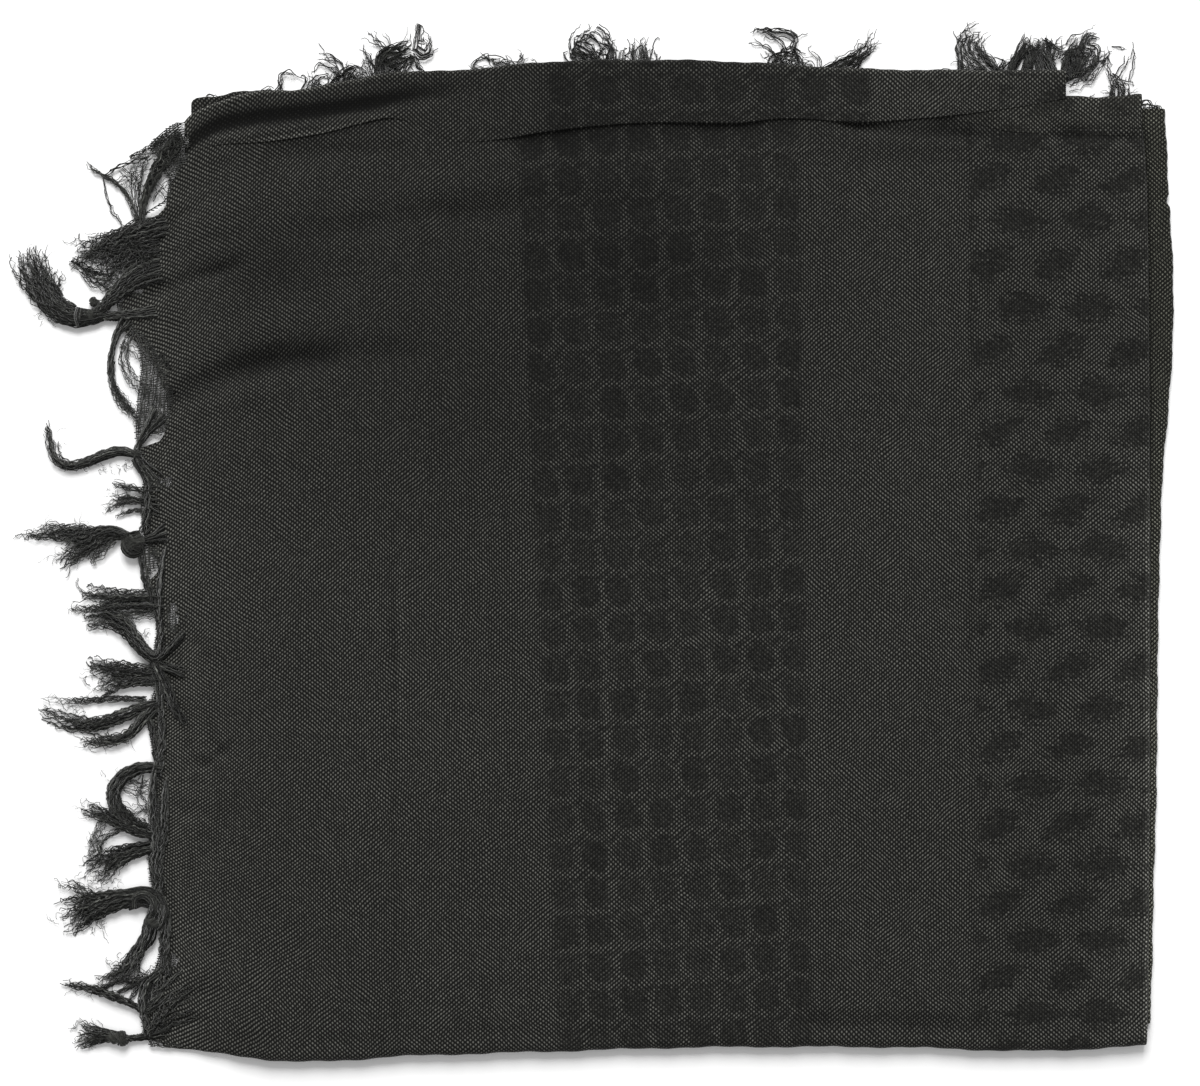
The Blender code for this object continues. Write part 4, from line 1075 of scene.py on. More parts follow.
LEFT_TASSELS = {
    1: (
        Run([(-246, 172, 3, 3), (-253, 180, 2.5, 1.2), (-257, 189, 2.4, 1.1), (-264, 198, 2, 1.1),
            (-272, 203, 1.6, 0.9), (-278, 207, 1.4, 1), (-283, 212, 1.2, 1.4)], 15, 0.34, 0.45, 0.2),
        Run([(-250, 174, 2.5, 1.6), (-250, 184, 3, 1.4), (-247, 195, 3.2, 2.2), (-243, 204, 3.6, 3),
            (-236, 215, 4, 3.6), (-228, 226, 4.4, 3)], 46, 0.34, 0.6, 0.08),
        Run([(-271, 203, 2, 0.8), (-264, 208, 2.4, 0.8), (-255, 211, 2.8, 1), (-242, 215, 3.6, 1.6)], 6,
            0.24, 0.5, 0.1),
        Run([(-272, 202, 1.8, 0.3), (-269.5, 190, 1.6, 0.8), (-265, 181, 1.6, 1), (-259, 174, 2, 0.8)], 4,
            0.2, 0.6, 0.15),
        Run([(-254, 177, 2, 1), (-259, 191, 2, 1.4), (-262, 207, 1.5, 1.8)], 4, 0.2, 0.6, 0.2),
        Run([(-253, 178, 2, 1), (-256, 194, 2, 2), (-255, 212, 2, 2.4)], 6, 0.2, 0.6, 0.15),
        Run([(-252, 180, 2, 1), (-253, 196, 2.4, 2.4), (-248, 217, 3, 3)], 8, 0.22, 0.6, 0.15),
        Run([(-266, 198, 2, 2), (-256, 203, 2.4, 3), (-246, 208, 3, 2.4)], 6, 0.2, 0.6, 0.15),
        Run([(-262, 207, 2, 2), (-254, 200, 2.4, 2.4), (-246, 190, 3, 2.4)], 5, 0.2, 0.6, 0.15),
        Run([(-247, 200, 2.6, 2), (-240, 195, 2.6, 2.4), (-234, 186, 2.8, 1.6)], 5, 0.2, 0.5, 0.1),
        Run([(-246, 190, 2.6, 2), (-240, 198, 2.6, 2.4), (-233, 203, 2.8, 1.6)], 5, 0.2, 0.5, 0.1),
        Run([(-257, 213, 2.4, 1.2), (-250, 216, 2.8, 1.6), (-243, 220, 3.2, 1.8), (-236, 226, 3.6, 1.6)],
            12, 0.22, 0.7, 0.1),
    ),
    2: (
        Run([(-236, 176, 3.4, 6), (-250, 172, 3.8, 5.2), (-262, 168, 3.4, 4.8), (-272, 164, 2.6, 4.6),
            (-282, 158, 2, 4), (-292, 154, 1.2, 3)], 86, 0.35, 0.9, 0.5, 0.75),
        Run([(-240, 164, 3.6, 6), (-252, 162, 3.6, 6), (-263, 158, 2.8, 6), (-272, 152, 2, 6.5),
            (-280, 146, 1.4, 6.5)], 62, 0.33, 1, 0.5, 0.75),
        Run([(-262, 172, 3.2, 4), (-256, 164, 3.8, 6), (-250, 154, 3.6, 6), (-246, 146, 3.2, 4)], 34, 0.32,
            0.6, 0.1),
        Run([(-246, 157, 3, 3), (-256, 152, 2.4, 4), (-264, 144, 1.8, 6), (-268, 137, 1.5, 6)], 34, 0.28,
            0.9, 0.4),
        Run([(-290, 156, 1.4, 2.4), (-282, 151, 1.6, 3), (-270, 147, 1.8, 3), (-258, 143, 2.2, 3)], 14,
            0.24, 0.9, 0.2),
        Run([(-284, 150, 1.4, 2), (-276, 143, 1.6, 3), (-266, 141, 1.8, 3), (-258, 136, 2.2, 3)], 14, 0.22,
            0.9, 0.2),
        Frizz(-268, 172, -288, 156, 200, 70, 9, 3, 40, 0.2),
    ),
    3: (
        Run([(-238, 152, 3.2, 8), (-252, 147, 3.2, 6.5), (-264, 138, 3.2, 4.2), (-272, 130, 3, 2.6),
            (-277, 126, 2.8, 2)], 96, 0.36, 0.4, 0.02),
        Run([(-240, 128, 2.6, 5), (-254, 126, 2.8, 3), (-268, 125, 2.6, 2.2), (-277, 125.5, 2.6, 1.8)], 44,
            0.36, 0.3, 0.02),
        Run([(-272, 125.5, 2.8, 3), (-281, 124, 3.2, 4.6), (-290, 124.5, 3.2, 5.4), (-299, 130, 2.8, 6.2),
            (-307, 140, 2.2, 6.8), (-313, 152, 1.6, 6.4), (-316, 163, 1, 5.4)], 132, 0.35, 0.55, 0.4),
        Run([(-288, 129, 2.4, 2.4), (-297, 134, 2, 3), (-300, 143, 1.6, 4), (-299, 153, 1, 4.6)], 34, 0.3,
            0.8, 0.4),
        Run([(-284.5, 129.6, 4.2, 1.7), (-285.5, 124.5, 5.6, 1.9), (-284.5, 119.2, 3.4, 1.7)], 16, 0.42, 0,
            0.02, 2.4),
        Knot(-279, 125.5, 2.8, 3.4, 0), Knot(-277, 133, 2.6, 2.8, 40),
        Frizz(-290, 122, -306, 132, 240, 70, 6, 3, 30, 0.2),
        Frizz(-303, 140, -316, 158, 120, 60, 9, 3, 34, 0.2),
    ),
    4: (
        Run([(-256, 122, 2.6, 1.6), (-264, 114, 2.4, 1), (-268, 102, 2, 1.1), (-268, 91, 1.8, 1.3),
            (-264, 79, 1.8, 2.2), (-254, 68, 2.2, 3)], 16, 0.3, 0.5, 0.1),
        Run([(-255, 118, 2.6, 1.6), (-260, 108, 2.2, 2), (-260, 98, 2, 2.4), (-254, 88, 2.4, 2.6),
            (-246, 80, 2.6, 2.6)], 14, 0.18, 0.7, 0.1),
        Run([(-266, 100, 2, 0.8), (-266, 88, 1.8, 1.4), (-258, 76, 2, 2.4), (-250, 62, 2.2, 3)], 14, 0.17,
            0.7, 0.1),
        Run([(-262, 110, 2.2, 2), (-252, 104, 2.4, 3.4), (-246, 96, 2.6, 3)], 9, 0.16, 0.7, 0.1),
    ),
    5: (
        Run([(-240, 72, 3, 7), (-247, 62, 2.8, 3), (-252, 54, 2.6, 1.6), (-254, 49, 2.6, 1.3)], 34, 0.38,
            0.2, 0.02),
        Run([(-240, 34, 3, 4), (-247, 41, 2.8, 2.2), (-252, 46, 2.6, 1.4), (-255, 48, 2.6, 1.2)], 20, 0.38,
            0.2, 0.02),
        Run([(-254, 48, 2.6, 1.8), (-262, 50, 2.5, 2.6), (-271, 48, 2.4, 2.8), (-281, 44, 2.2, 2.4),
            (-291, 42, 2, 2.2), (-298, 46, 1.8, 2.2), (-301, 56, 1.6, 2), (-303, 67, 1, 1.6)], 46, 0.34,
            0.35, 0.3),
        Knot(-254, 48.5, 2.8, 3, 60), Frizz(-258, 43, -296, 40, 200, 60, 5, 2.5, 22),
        Frizz(-296, 46, -303, 62, 110, 60, 7, 3, 12, 0.13), Frizz(-255, 42, -260, 44, 250, 60, 6, 3, 8),
    ),
    6: (
        Run([(-240, 27, 3, 4), (-250, 28, 2.4, 1.6), (-259, 30, 2, 1.4), (-268, 32, 1.4, 1.4)], 16, 0.3,
            0.5, 0.2),
        Run([(-240, 22, 3, 3), (-250, 23, 2.4, 1.6), (-260, 24, 1.8, 1.6), (-269, 23, 1.4, 1.5)], 16, 0.3,
            0.5, 0.2),
        Run([(-241, 18, 3, 3), (-250, 21, 2.4, 1.4), (-262, 21, 1.8, 1.4), (-273, 17, 1.2, 1.6)], 15, 0.28,
            0.5, 0.25),
        Run([(-241, 14, 2.8, 2.5), (-250, 17, 2.2, 1.3), (-259, 16, 1.6, 1.3), (-267, 13, 1.2, 1.4)], 13,
            0.28, 0.5, 0.25),
        Frizz(-258, 30, -272, 16, 185, 60, 6, 3, 20),
    ),
    7: (
        Run([(-236, 4, 3, 7), (-244, 1.5, 3, 2.6), (-251, 0, 3, 1.8)], 30, 0.42, 0.1, 0.02),
        Knot(-254.5, -1, 3.8, 6.6, 80),
        Run([(-250, -6, 3.2, 1.6), (-256, -7.5, 5, 2), (-259.5, -3, 5.6, 2.2), (-257, 2.6, 5.4, 2),
            (-251, 4, 4.2, 1.6)], 24, 0.44, 0.1, 0.02),
        Run([(-257, 2, 3.4, 2.2), (-264, 4, 3.2, 3.4), (-272, 4, 3, 4.2), (-281, 0, 2.8, 5.4),
            (-291, -2, 2.2, 6.5), (-299, -4, 1.6, 8)], 84, 0.38, 0.5, 0.3),
        Run([(-272, 4, 3, 3), (-288, 5, 2.2, 4.2), (-303, 4, 1.6, 3.4), (-322, 4, 1, 1.4)], 30, 0.26, 0.7,
            0.35),
        Run([(-266, 1, 3, 2.4), (-274, -6, 2.2, 3), (-281, -13, 1.2, 2.4)], 18, 0.28, 0.7, 0.3),
        Frizz(-280, 8, -308, 5, 170, 50, 9, 3, 26), Frizz(-282, -8, -302, -8, 215, 50, 8, 3, 26),
    ),
    8: (
        Run([(-238, -30, 3, 5), (-250, -30, 2.6, 3), (-264, -30, 2.2, 2.6), (-285, -28, 1.2, 1.8)], 32,
            0.32, 0.6, 0.35),
        Run([(-238, -36, 3, 5), (-250, -35, 2.6, 3), (-268, -36, 2, 2.6), (-291, -38, 1.2, 2.6)], 36, 0.32,
            0.6, 0.35),
        Run([(-238, -40, 3, 3), (-252, -41, 2.2, 2.4), (-266, -42, 1.6, 1.8), (-280, -45, 1, 2.6)], 16,
            0.26, 0.8, 0.4),
        Frizz(-262, -28, -288, -40, 185, 60, 9, 3, 34),
        Run([(-266, -30, 1.8, 0.6), (-280, -30, 1.4, 0.6), (-287, -24, 1, 0.5), (-286, -20, 0.8, 0.4)], 5,
            0.14, 0.3, 0.1),
    ),
    9: (
        Run([(-238, -60, 3.2, 3.4), (-243, -65, 3.2, 3), (-249, -61, 3.2, 3.4), (-255, -54, 3, 3.8),
            (-260, -48, 2.6, 4.2), (-270, -44, 2, 3.6), (-282, -46, 1.2, 2.8)], 70, 0.36, 0.4, 0.3),
        Frizz(-258, -48, -280, -44, 190, 60, 8, 3, 22), Frizz(-248, -54, -250, -52, 110, 50, 6, 3, 6),
    ),
    10: (
        Run([(-240, -73, 3.2, 3), (-250, -72, 3, 3.6), (-260, -71, 2.4, 3.6), (-272, -70, 1.8, 3.6),
            (-283, -68, 1, 3)], 40, 0.33, 0.6, 0.35),
        Run([(-240, -78, 3, 3), (-252, -77, 2.6, 3.4), (-264, -79, 2, 3.6), (-278, -84, 1, 3)], 40, 0.33,
            0.6, 0.35),
        Frizz(-262, -68, -282, -84, 185, 60, 9, 3, 34),
    ),
    11: (
        Run([(-240, -92, 3, 4), (-250, -93, 2.6, 3.2), (-260, -97, 2.4, 3.6), (-276, -102, 2, 3.4),
            (-292, -101, 1.4, 3.2), (-310, -95, 1, 2.2)], 52, 0.34, 0.5, 0.35),
        Run([(-243, -92, 3, 3.2), (-250, -99, 2.8, 3), (-257, -107, 2.4, 2.6), (-268, -111, 2, 2.6),
            (-286, -110, 1.2, 2.4)], 44, 0.36, 0.5, 0.35),
        Run([(-248, -88, 2.4, 1.5), (-268, -88, 2, 1.6), (-288, -89, 1.6, 1.6), (-309, -87, 1, 1.4)], 16,
            0.24, 0.7, 0.35),
        Frizz(-256, -110, -282, -110, 215, 50, 10, 2.4, 22), Frizz(-280, -92, -306, -96, 175, 50, 8, 3, 24),
    ),
    12: (
        Run([(-238, -127, 3, 2.6), (-247, -125.8, 3, 2.8), (-255, -127.5, 3, 3.3), (-262, -132, 2.8, 3.6),
            (-266, -139.5, 2.6, 3.6), (-264.5, -148, 2.6, 3.5), (-257.5, -155.5, 2.8, 3.8),
            (-246, -161.5, 3, 3.4)], 46, 0.36, 0.5, 0.04, 0.8),
        Run([(-256, -128, 2.4, 1.5), (-258, -134, 2, 2), (-250, -136, 2, 2.4), (-241, -134, 2.4, 2)], 8,
            0.2, 0.8, 0.25),
        Run([(-262, -137, 2.2, 1), (-255, -140, 1.6, 2), (-248, -139, 1.8, 2.4), (-241, -141, 2.2, 2)], 8,
            0.2, 0.8, 0.25),
        Run([(-262, -145, 2.2, 1), (-256, -149, 1.6, 2.4), (-249, -148, 1.8, 2.4), (-242, -150, 2.2, 2)], 9,
            0.2, 0.8, 0.25),
        Run([(-250, -130, 2.2, 2), (-252, -140, 1.6, 3), (-247, -150, 1.8, 3), (-247, -158, 2.2, 2)], 6,
            0.2, 0.8, 0.1),
        Run([(-241, -164, 3, 2.4), (-252, -161, 3, 3.2), (-261, -157.5, 3, 3.2), (-272, -152, 2.4, 3),
            (-284, -148, 1.2, 2.6)], 48, 0.36, 0.4, 0.3),
        Run([(-266, -152, 2.2, 1.5), (-273, -158, 2, 2.4), (-276, -168, 1.6, 3), (-280, -178, 1, 3)], 14,
            0.2, 0.8, 0.3),
        Frizz(-262, -130, -272, -146, 150, 70, 6, 3, 18), Frizz(-276, -154, -286, -146, 170, 60, 7, 3, 18),
    ),
    13: (
        Run([(-240, -170, 3, 3.4), (-249, -171, 2.8, 3.8), (-260, -174, 2.6, 5), (-271, -180, 2.2, 6),
            (-280, -186, 1.4, 5.6)], 72, 0.36, 0.5, 0.3),
        Run([(-262, -160, 2.2, 2), (-273, -166, 2, 2.4), (-277, -176, 1.6, 3), (-284, -182, 1, 3)], 16, 0.2,
            0.9, 0.35),
        Frizz(-266, -176, -284, -188, 215, 60, 8, 3.2, 30),
        Frizz(-272, -160, -280, -176, 200, 60, 8, 3.2, 14),
    ),
    14: (
        Run([(-262, -198.5, 3.2, 4.5), (-254, -195.6, 4, 3.2), (-247, -194.6, 4.8, 2.8),
            (-241, -197.5, 5.2, 2.8), (-238.2, -204, 5, 2.7), (-239.5, -211, 4.2, 2.4),
            (-243, -216, 3.4, 2)], 32, 0.5, 0.1, 0.03),
        # strands darkened as painted shade under the loop
        Run([(-258, -202, 3, 3), (-250, -200.5, 3.6, 2.4), (-245, -202.5, 3.8, 2.2),
            (-244.5, -208, 3.6, 2.4), (-247, -214, 3, 2.4)], 30, 0.42, 0.15, 0.03, 0.3),
        Run([(-238, -192, 3.2, 3), (-242, -196, 3.8, 2), (-246, -198, 4, 1.6)], 16, 0.42, 0.1, 0.02),
        # the loop's strands brightened as a painted highlight
        Run([(-254.5, -204, 3.6, 1.5), (-253.5, -198, 5.6, 1.9), (-248.5, -196, 6.4, 2),
            (-244.2, -199.5, 6.2, 2), (-244, -205.5, 5.2, 1.9), (-247, -210, 4, 1.6)], 24, 0.46, 0.05, 0.02,
            1.25),
        Run([(-249, -199, 3.6, 4), (-258, -198.5, 3.6, 5), (-270, -201, 3.2, 6.4), (-282, -205, 2.4, 6.4),
            (-296, -211, 1.4, 5.4)], 104, 0.38, 0.45, 0.3),
        Run([(-276, -198, 2.6, 2.6), (-288, -192, 2, 2.6), (-301, -189, 1, 3)], 18, 0.2, 0.9, 0.4),
        Frizz(-262, -194, -286, -190, 160, 60, 8, 3.2, 22),
        Frizz(-268, -208, -300, -216, 215, 60, 8, 3.2, 34),
    ),
    15: (
        Knot(-244.5, -212, 3.4, 4.6, 80),
        # strands darkened as painted shade under the knot
        Run([(-242, -206, 3.4, 3), (-245, -212, 4.2, 4.4), (-246.5, -219, 3.8, 4.2), (-250, -226, 3.2, 3)],
            54, 0.42, 0.15, 0.05, 0.35),
        Run([(-247, -218, 3.2, 3), (-250, -224, 3, 3.4), (-255, -232, 2.8, 4), (-259, -239, 2.2, 4.2),
            (-266, -244, 1.4, 4.2)], 62, 0.36, 0.4, 0.3),
        Run([(-258, -238, 2, 2.4), (-266, -241, 1.6, 2), (-276, -246, 1, 1.6)], 16, 0.24, 0.7, 0.35),
        Frizz(-256, -232, -268, -243, 200, 60, 8, 3.2, 22),
    ),
    16: (
        Run([(-237, -250, 3, 6), (-243, -257, 2.8, 3.2), (-250, -262, 2.4, 1.8)], 30, 0.36, 0.2, 0.05),
        Run([(-248, -263, 2.4, 1.6), (-256, -258, 2.4, 1.8), (-266, -254, 2.2, 2.2), (-280, -249, 1.6, 1.7),
            (-297, -246, 0.9, 0.6)], 30, 0.34, 0.5, 0.35, 0.8),
        Run([(-276, -250, 1.2, 1.2), (-266, -245, 1.6, 2), (-258, -243, 2.2, 2.4), (-249, -246, 2.6, 1.6)],
            14, 0.28, 0.9, 0.2, 0.5),
        Run([(-264, -251, 1.4, 1), (-256, -247, 2, 2), (-248, -243, 2.6, 2.6), (-240, -240, 3, 2.4)], 14,
            0.3, 0.8, 0.2, 0.5),
        Run([(-258, -256, 1.6, 1), (-254, -249, 2, 1.6), (-251, -241, 2.4, 2), (-254, -234, 2.6, 2)], 8,
            0.26, 0.8, 0.2, 0.5),
        Run([(-252, -262, 2.2, 1.2), (-249, -254, 2.4, 1.6), (-244, -244, 2.6, 2.4)], 14, 0.33, 0.3, 0.1),
        Frizz(-262, -250, -290, -250, 190, 60, 8, 3, 24),
    ),
    17: (
        Run([(-234, -272, 2.4, 6), (-243, -274, 2.4, 3), (-252, -276, 2.4, 1.8), (-258, -276.6, 2.4, 1.4)],
            34, 0.36, 0.2, 0.02),
        Knot(-261.5, -276.4, 3, 4.6, 10), Knot(-266.5, -276.2, 2.8, 3.6, 30),
        Run([(-263, -276, 2.6, 2.6), (-270, -275, 2.6, 3.6), (-278, -275, 2.2, 4.6),
            (-288, -275, 1.2, 5.2)], 58, 0.34, 0.45, 0.35),
        Frizz(-272, -272, -288, -270, 150, 60, 6, 3, 16), Frizz(-274, -278, -289, -279, 210, 60, 6, 3, 16),
    ),
}

TOP_TASSELS = {
    1: (
        Wisp([(-177, 249), (-174, 254), (-173.5, 260), (-168, 261.2), (-163, 258), (-156, 252)], 1, 4),
        Wisp([(-172, 249), (-173, 256), (-172, 260)], 1, 4),
        Wisp([(-163, 251), (-160, 257), (-166, 259)], 0.6, 2),
        Wisp([(-140, 256), (-141, 264), (-146, 267), (-150, 268), (-155, 270)], 1.6, 8),
        Wisp([(-138, 258), (-143, 266), (-148, 270), (-152, 272.5)], 1.2, 3),
        Wisp([(-143, 259), (-148, 263), (-152, 264.5), (-156, 257)], 0.8, 3),
        Wisp([(-158, 250), (-153, 257), (-147, 258), (-149, 252)], 1.2, 4),
        Wisp([(-147, 253), (-141, 260), (-134, 266), (-132, 264)], 1.6, 7),
        Wisp([(-138, 255), (-136, 261), (-132, 263), (-130, 258)], 1.6, 7),
        Wisp([(-216, 243), (-214, 249), (-209, 248.5), (-206, 244)], 0.4, 2),
        Wisp([(-186, 249), (-180, 252), (-174, 249)], 0.5, 4),
        Frizz(-158, 249.5, -128, 254.5, 95, 63, 9.6, 2.62, 45, 0.29),
    ),
    2: (
        Wisp([(-122, 258), (-125, 267), (-128, 272), (-131, 275.5)], 1.3, 7),
        Wisp([(-122, 258), (-124, 267), (-130, 279)], 1, 2),
        Wisp([(-112, 271), (-117, 275), (-122, 279), (-127, 283)], 1.2, 7),
        Wisp([(-112, 272), (-113.5, 278), (-116, 283.5)], 0.2, 2),
        Wisp([(-119, 261), (-118, 269), (-113, 273), (-106, 273.5), (-101, 275), (-98, 276)], 1.6, 24),
        Wisp([(-116, 258), (-116, 265), (-110, 269), (-103, 271), (-98, 273)], 3, 24),
        Wisp([(-112, 258), (-108, 264), (-110, 270)], 2.6, 14),
        Wisp([(-101, 271), (-98, 266), (-95, 261), (-94, 257)], 1, 6),
        Wisp([(-107, 259), (-103, 266), (-99, 268), (-99, 259)], 2, 10),
        Wisp([(-99, 273), (-97.5, 280), (-97, 287), (-95.5, 284), (-98, 276)], 0.8, 6),
        Wisp([(-98, 275), (-93, 272), (-91, 278), (-92.5, 284)], 1.4, 7),
        Wisp([(-98, 271), (-94, 269), (-90, 272), (-88, 277)], 1.2, 6),
        Wisp([(-97, 277), (-93, 277), (-94, 284)], 1.2, 4),
        Frizz(-142, 253.5, -118, 257.5, 95, 72, 12.8, 3, 52, 0.29),
        Frizz(-119, 259.5, -104, 267.5, 90, 108, 11.2, 3.75, 30, 0.29),
    ),
    3: (
        Wisp([(-60, 261), (-66, 263.5), (-65.5, 266.5), (-59, 269.5), (-56, 266), (-50, 266)], 0.7, 4),
        Wisp([(-57, 268), (-55, 264.5), (-49, 266), (-42, 265)], 1, 5),
        Wisp([(-59, 268.5), (-53, 269), (-49, 266), (-43, 263)], 0.7, 3),
        Wisp([(-57, 267), (-60, 270), (-63, 273)], 0.4, 2),
        Wisp([(-44, 262), (-38.5, 268), (-44, 275.5)], 0.5, 2),
        Wisp([(-47, 262), (-40, 270), (-40, 276)], 0.6, 2),
        Wisp([(-42, 262), (-47, 268), (-49.5, 271)], 0.8, 3),
        Wisp([(-29, 263), (-33, 268), (-38, 269.5)], 0.6, 3), Wisp([(-63, 261), (-69, 264.5)], 0.4, 2),
        Frizz(-62, 260.5, -40, 262.5, 95, 81, 9.6, 3, 14, 0.29),
    ),
    4: (
        Wisp([(-8, 264), (-13, 267.5), (-15, 271), (-11, 275)], 0.6, 3),
        Wisp([(-6, 264), (-11, 271), (-11, 278), (-9, 282), (-4, 285)], 1.2, 7),
        Wisp([(2, 265), (-5, 270), (-9, 275), (-6, 280), (0, 284), (2.5, 287)], 1.3, 8),
        Wisp([(4, 265), (0, 272), (-5, 277), (-3, 281), (1, 284), (3, 287)], 1.4, 6),
        Wisp([(3, 287), (7, 284), (9.5, 281), (10, 277), (13, 270)], 0.8, 4),
        Wisp([(8, 265), (11, 273), (8, 279), (5, 283), (3, 286)], 1.6, 7),
        Wisp([(13, 266), (12, 273), (10, 279), (13, 281)], 1, 6),
        Wisp([(-12, 272), (-5, 269), (3, 267), (10, 269)], 1.6, 10),
        Wisp([(-10, 276), (-3, 272), (4, 270), (9, 265)], 1.6, 8),
        Wisp([(-9, 279), (-3, 279), (2, 275), (5, 268)], 1.6, 5),
        Wisp([(0, 283), (4, 279), (9, 275), (11, 270)], 1.6, 6),
        Frizz(-6, 263.5, 13, 265.5, 92, 81, 12.8, 3.75, 33, 0.29),
    ),
    5: (
        Wisp([(17, 264), (17, 271), (20, 275), (17, 278.5)], 1, 4),
        Wisp([(20, 264), (22, 271), (19, 277)], 0.8, 3),
        Wisp([(23, 264), (23, 272), (24, 277), (26, 281)], 0.9, 6),
        Wisp([(26, 264), (26.5, 272), (23, 277)], 0.9, 4), Wisp([(28, 264), (28, 273), (28, 281)], 0.9, 6),
        Wisp([(30, 264), (30, 273), (31.5, 280)], 1, 6),
        Wisp([(31, 264), (32.5, 273), (35, 278), (37, 280.3), (38.5, 279)], 0.6, 3),
        Wisp([(34, 264), (36, 268), (35, 276)], 0.4, 2),
        Wisp([(37.5, 264), (37.5, 270), (40, 270.5)], 0.4, 2),
        Frizz(14, 263.5, 33, 264.5, 92, 54, 11.2, 2.25, 40, 0.29),
    ),
    6: (
        Wisp([(126.5, 262), (125.5, 268), (122, 273), (123.5, 276)], 0.7, 4),
        Wisp([(124, 262), (122, 266), (118, 267), (119, 271)], 0.8, 3),
        Wisp([(119, 263), (115, 270), (112.5, 276), (116, 279), (121, 279.5)], 0.9, 4),
        Wisp([(113.5, 280.5), (110, 283), (104, 284), (97, 284), (90, 282.5), (84, 279)], 0.8, 6),
        Wisp([(112, 279.5), (107, 281.5), (102, 281.5), (97, 283.5), (92, 283.5), (87, 281)], 1, 6),
        Wisp([(108, 272), (105, 277.5), (100, 280.5), (95, 282.5), (91, 280)], 1, 5),
        Wisp([(102, 264), (101, 272), (97, 276), (92, 278), (88, 281)], 1, 4),
        Wisp([(114, 265), (111, 274), (112, 280), (108, 283)], 1.2, 5),
        Wisp([(99, 263), (101, 268), (107, 270), (113, 268), (119, 263)], 1.8, 10),
        Wisp([(102, 263), (106, 272), (112, 272), (117, 264)], 2, 8),
        Wisp([(98, 274), (102, 270), (108, 268)], 1, 3), Wisp([(95, 269), (98, 271), (95, 273)], 0.2, 1),
        Frizz(99, 262.5, 119, 263.5, 92, 72, 11.2, 3.75, 33, 0.29),
    ),
    7: (
        Wisp([(127, 262.5), (134, 266), (140, 269.5), (145, 272), (149, 277), (151.5, 279)], 0.8, 6),
        Wisp([(130, 262), (138, 265.5), (146, 269.5), (151, 274), (154, 279), (154.5, 286)], 1.7, 18),
        Wisp([(134, 261), (143, 264), (148, 268), (152, 272), (155, 276), (158, 279)], 1.2, 9),
        Wisp([(141, 260), (146, 263), (150, 268), (154, 273), (159.5, 280)], 0.9, 6),
        Wisp([(147, 260), (151, 267)], 0.4, 2), Frizz(130, 261.5, 148, 262.5, 40, 36, 9.6, 1.5, 15, 0.29),
        Wisp([(188, 258), (192, 262), (199, 262), (204, 259)], 0.4, 3),
    ),
    8: (
        Wisp([(204, 259), (203.5, 268), (203, 275), (205, 281), (209, 284), (215, 287)], 1.2, 8),
        Wisp([(207, 259), (206, 270), (206, 277), (209, 281.5), (214, 283)], 1.6, 9),
        Wisp([(213, 268), (209, 274), (210, 280), (213, 286)], 1.8, 8),
        Wisp([(226, 258), (220, 264), (215, 270), (212, 276), (212, 283)], 2.8, 36),
        Wisp([(218, 258), (211, 264), (206, 270), (204, 279)], 2.4, 9),
        Wisp([(226, 258), (222, 267), (216, 273), (217, 278), (219, 280)], 1.4, 6),
        Wisp([(224, 260), (230, 267), (225, 272)], 1, 4),
        Wisp([(209, 258), (210, 263), (204, 266)], 1.6, 5),
        Frizz(205, 259.5, 226, 261.5, 95, 63, 14.4, 3, 27, 0.29),
    ),
    9: (
        Wisp([(231, 257), (235, 266), (240, 273), (245, 277)], 1.6, 56, 0.4),
        Wisp([(240, 257), (243, 267), (246, 278)], 2.2, 70, 0.4),
        Wisp([(249, 257), (248, 268), (246, 278)], 1.4, 40, 0.4),
        Wisp([(257, 257), (254, 265), (250, 273), (248, 278)], 1.8, 60, 0.5),
        Wisp([(225, 259), (229, 265), (234, 272)], 0.8, 6),
        Wisp([(251, 270), (254, 275), (252, 280)], 1.4, 9),
        Wisp([(254, 267), (258, 272), (256, 278)], 1.4, 8),
        Wisp([(257, 269), (259, 276), (262, 280)], 0.6, 2),
        Frizz(249, 267.5, 258, 275.5, 80, 81, 11.2, 3.75, 20, 0.29),
        Frizz(238, 274.5, 250, 277.5, 90, 54, 4.8, 1.5, 15, 0.29),
    ),
    10: (
        Wisp([(263, 257), (265, 266), (269, 273), (273, 276)], 2.6, 56, 0.6),
        Wisp([(268, 260), (271, 268), (274, 275)], 2.6, 46, 0.6),
        Wisp([(272, 273), (273, 279), (277, 283.5), (282, 285)], 1.4, 13),
        Wisp([(275, 276), (276.5, 280), (282, 281.5)], 0.8, 6),
        Wisp([(260, 268), (264, 272), (268, 275), (272, 277)], 1, 6),
        Wisp([(264, 276), (268, 281), (272, 279)], 0.8, 3),
        Wisp([(276, 276), (281, 274), (280, 267), (277, 261), (271, 256), (264, 253)], 0.9, 5),
        Wisp([(285, 267), (281, 262), (277, 256), (270, 252.5), (264, 251)], 0.8, 4),
        Wisp([(263, 256), (269, 258.5), (275, 261.5), (281, 267), (285, 270), (288, 275)], 0.9, 6),
        Wisp([(262, 259), (270, 262), (277, 265), (279, 272), (283, 274.5)], 1.2, 7),
        Wisp([(271, 276), (274, 272), (278, 270), (276, 263)], 1.6, 8),
        Frizz(264, 257.5, 276, 271.5, 70, 108, 12.8, 3.75, 33, 0.29),
        Wisp([(252, 280), (256, 276), (262, 274), (266, 276)], 1.2, 5),
    ),
    11: (
        Wisp([(288, 245), (289, 255), (287.5, 261), (286, 266), (287.5, 270.5), (290, 265), (290, 259)],
            0.8, 5),
        Wisp([(285, 265), (287, 271), (288.5, 275)], 0.6, 3),
        Wisp([(289, 275), (294, 274), (299, 273)], 0.3, 2),
        Wisp([(290, 257), (295, 264), (297, 269), (299, 273), (297.5, 278)], 0.8, 4),
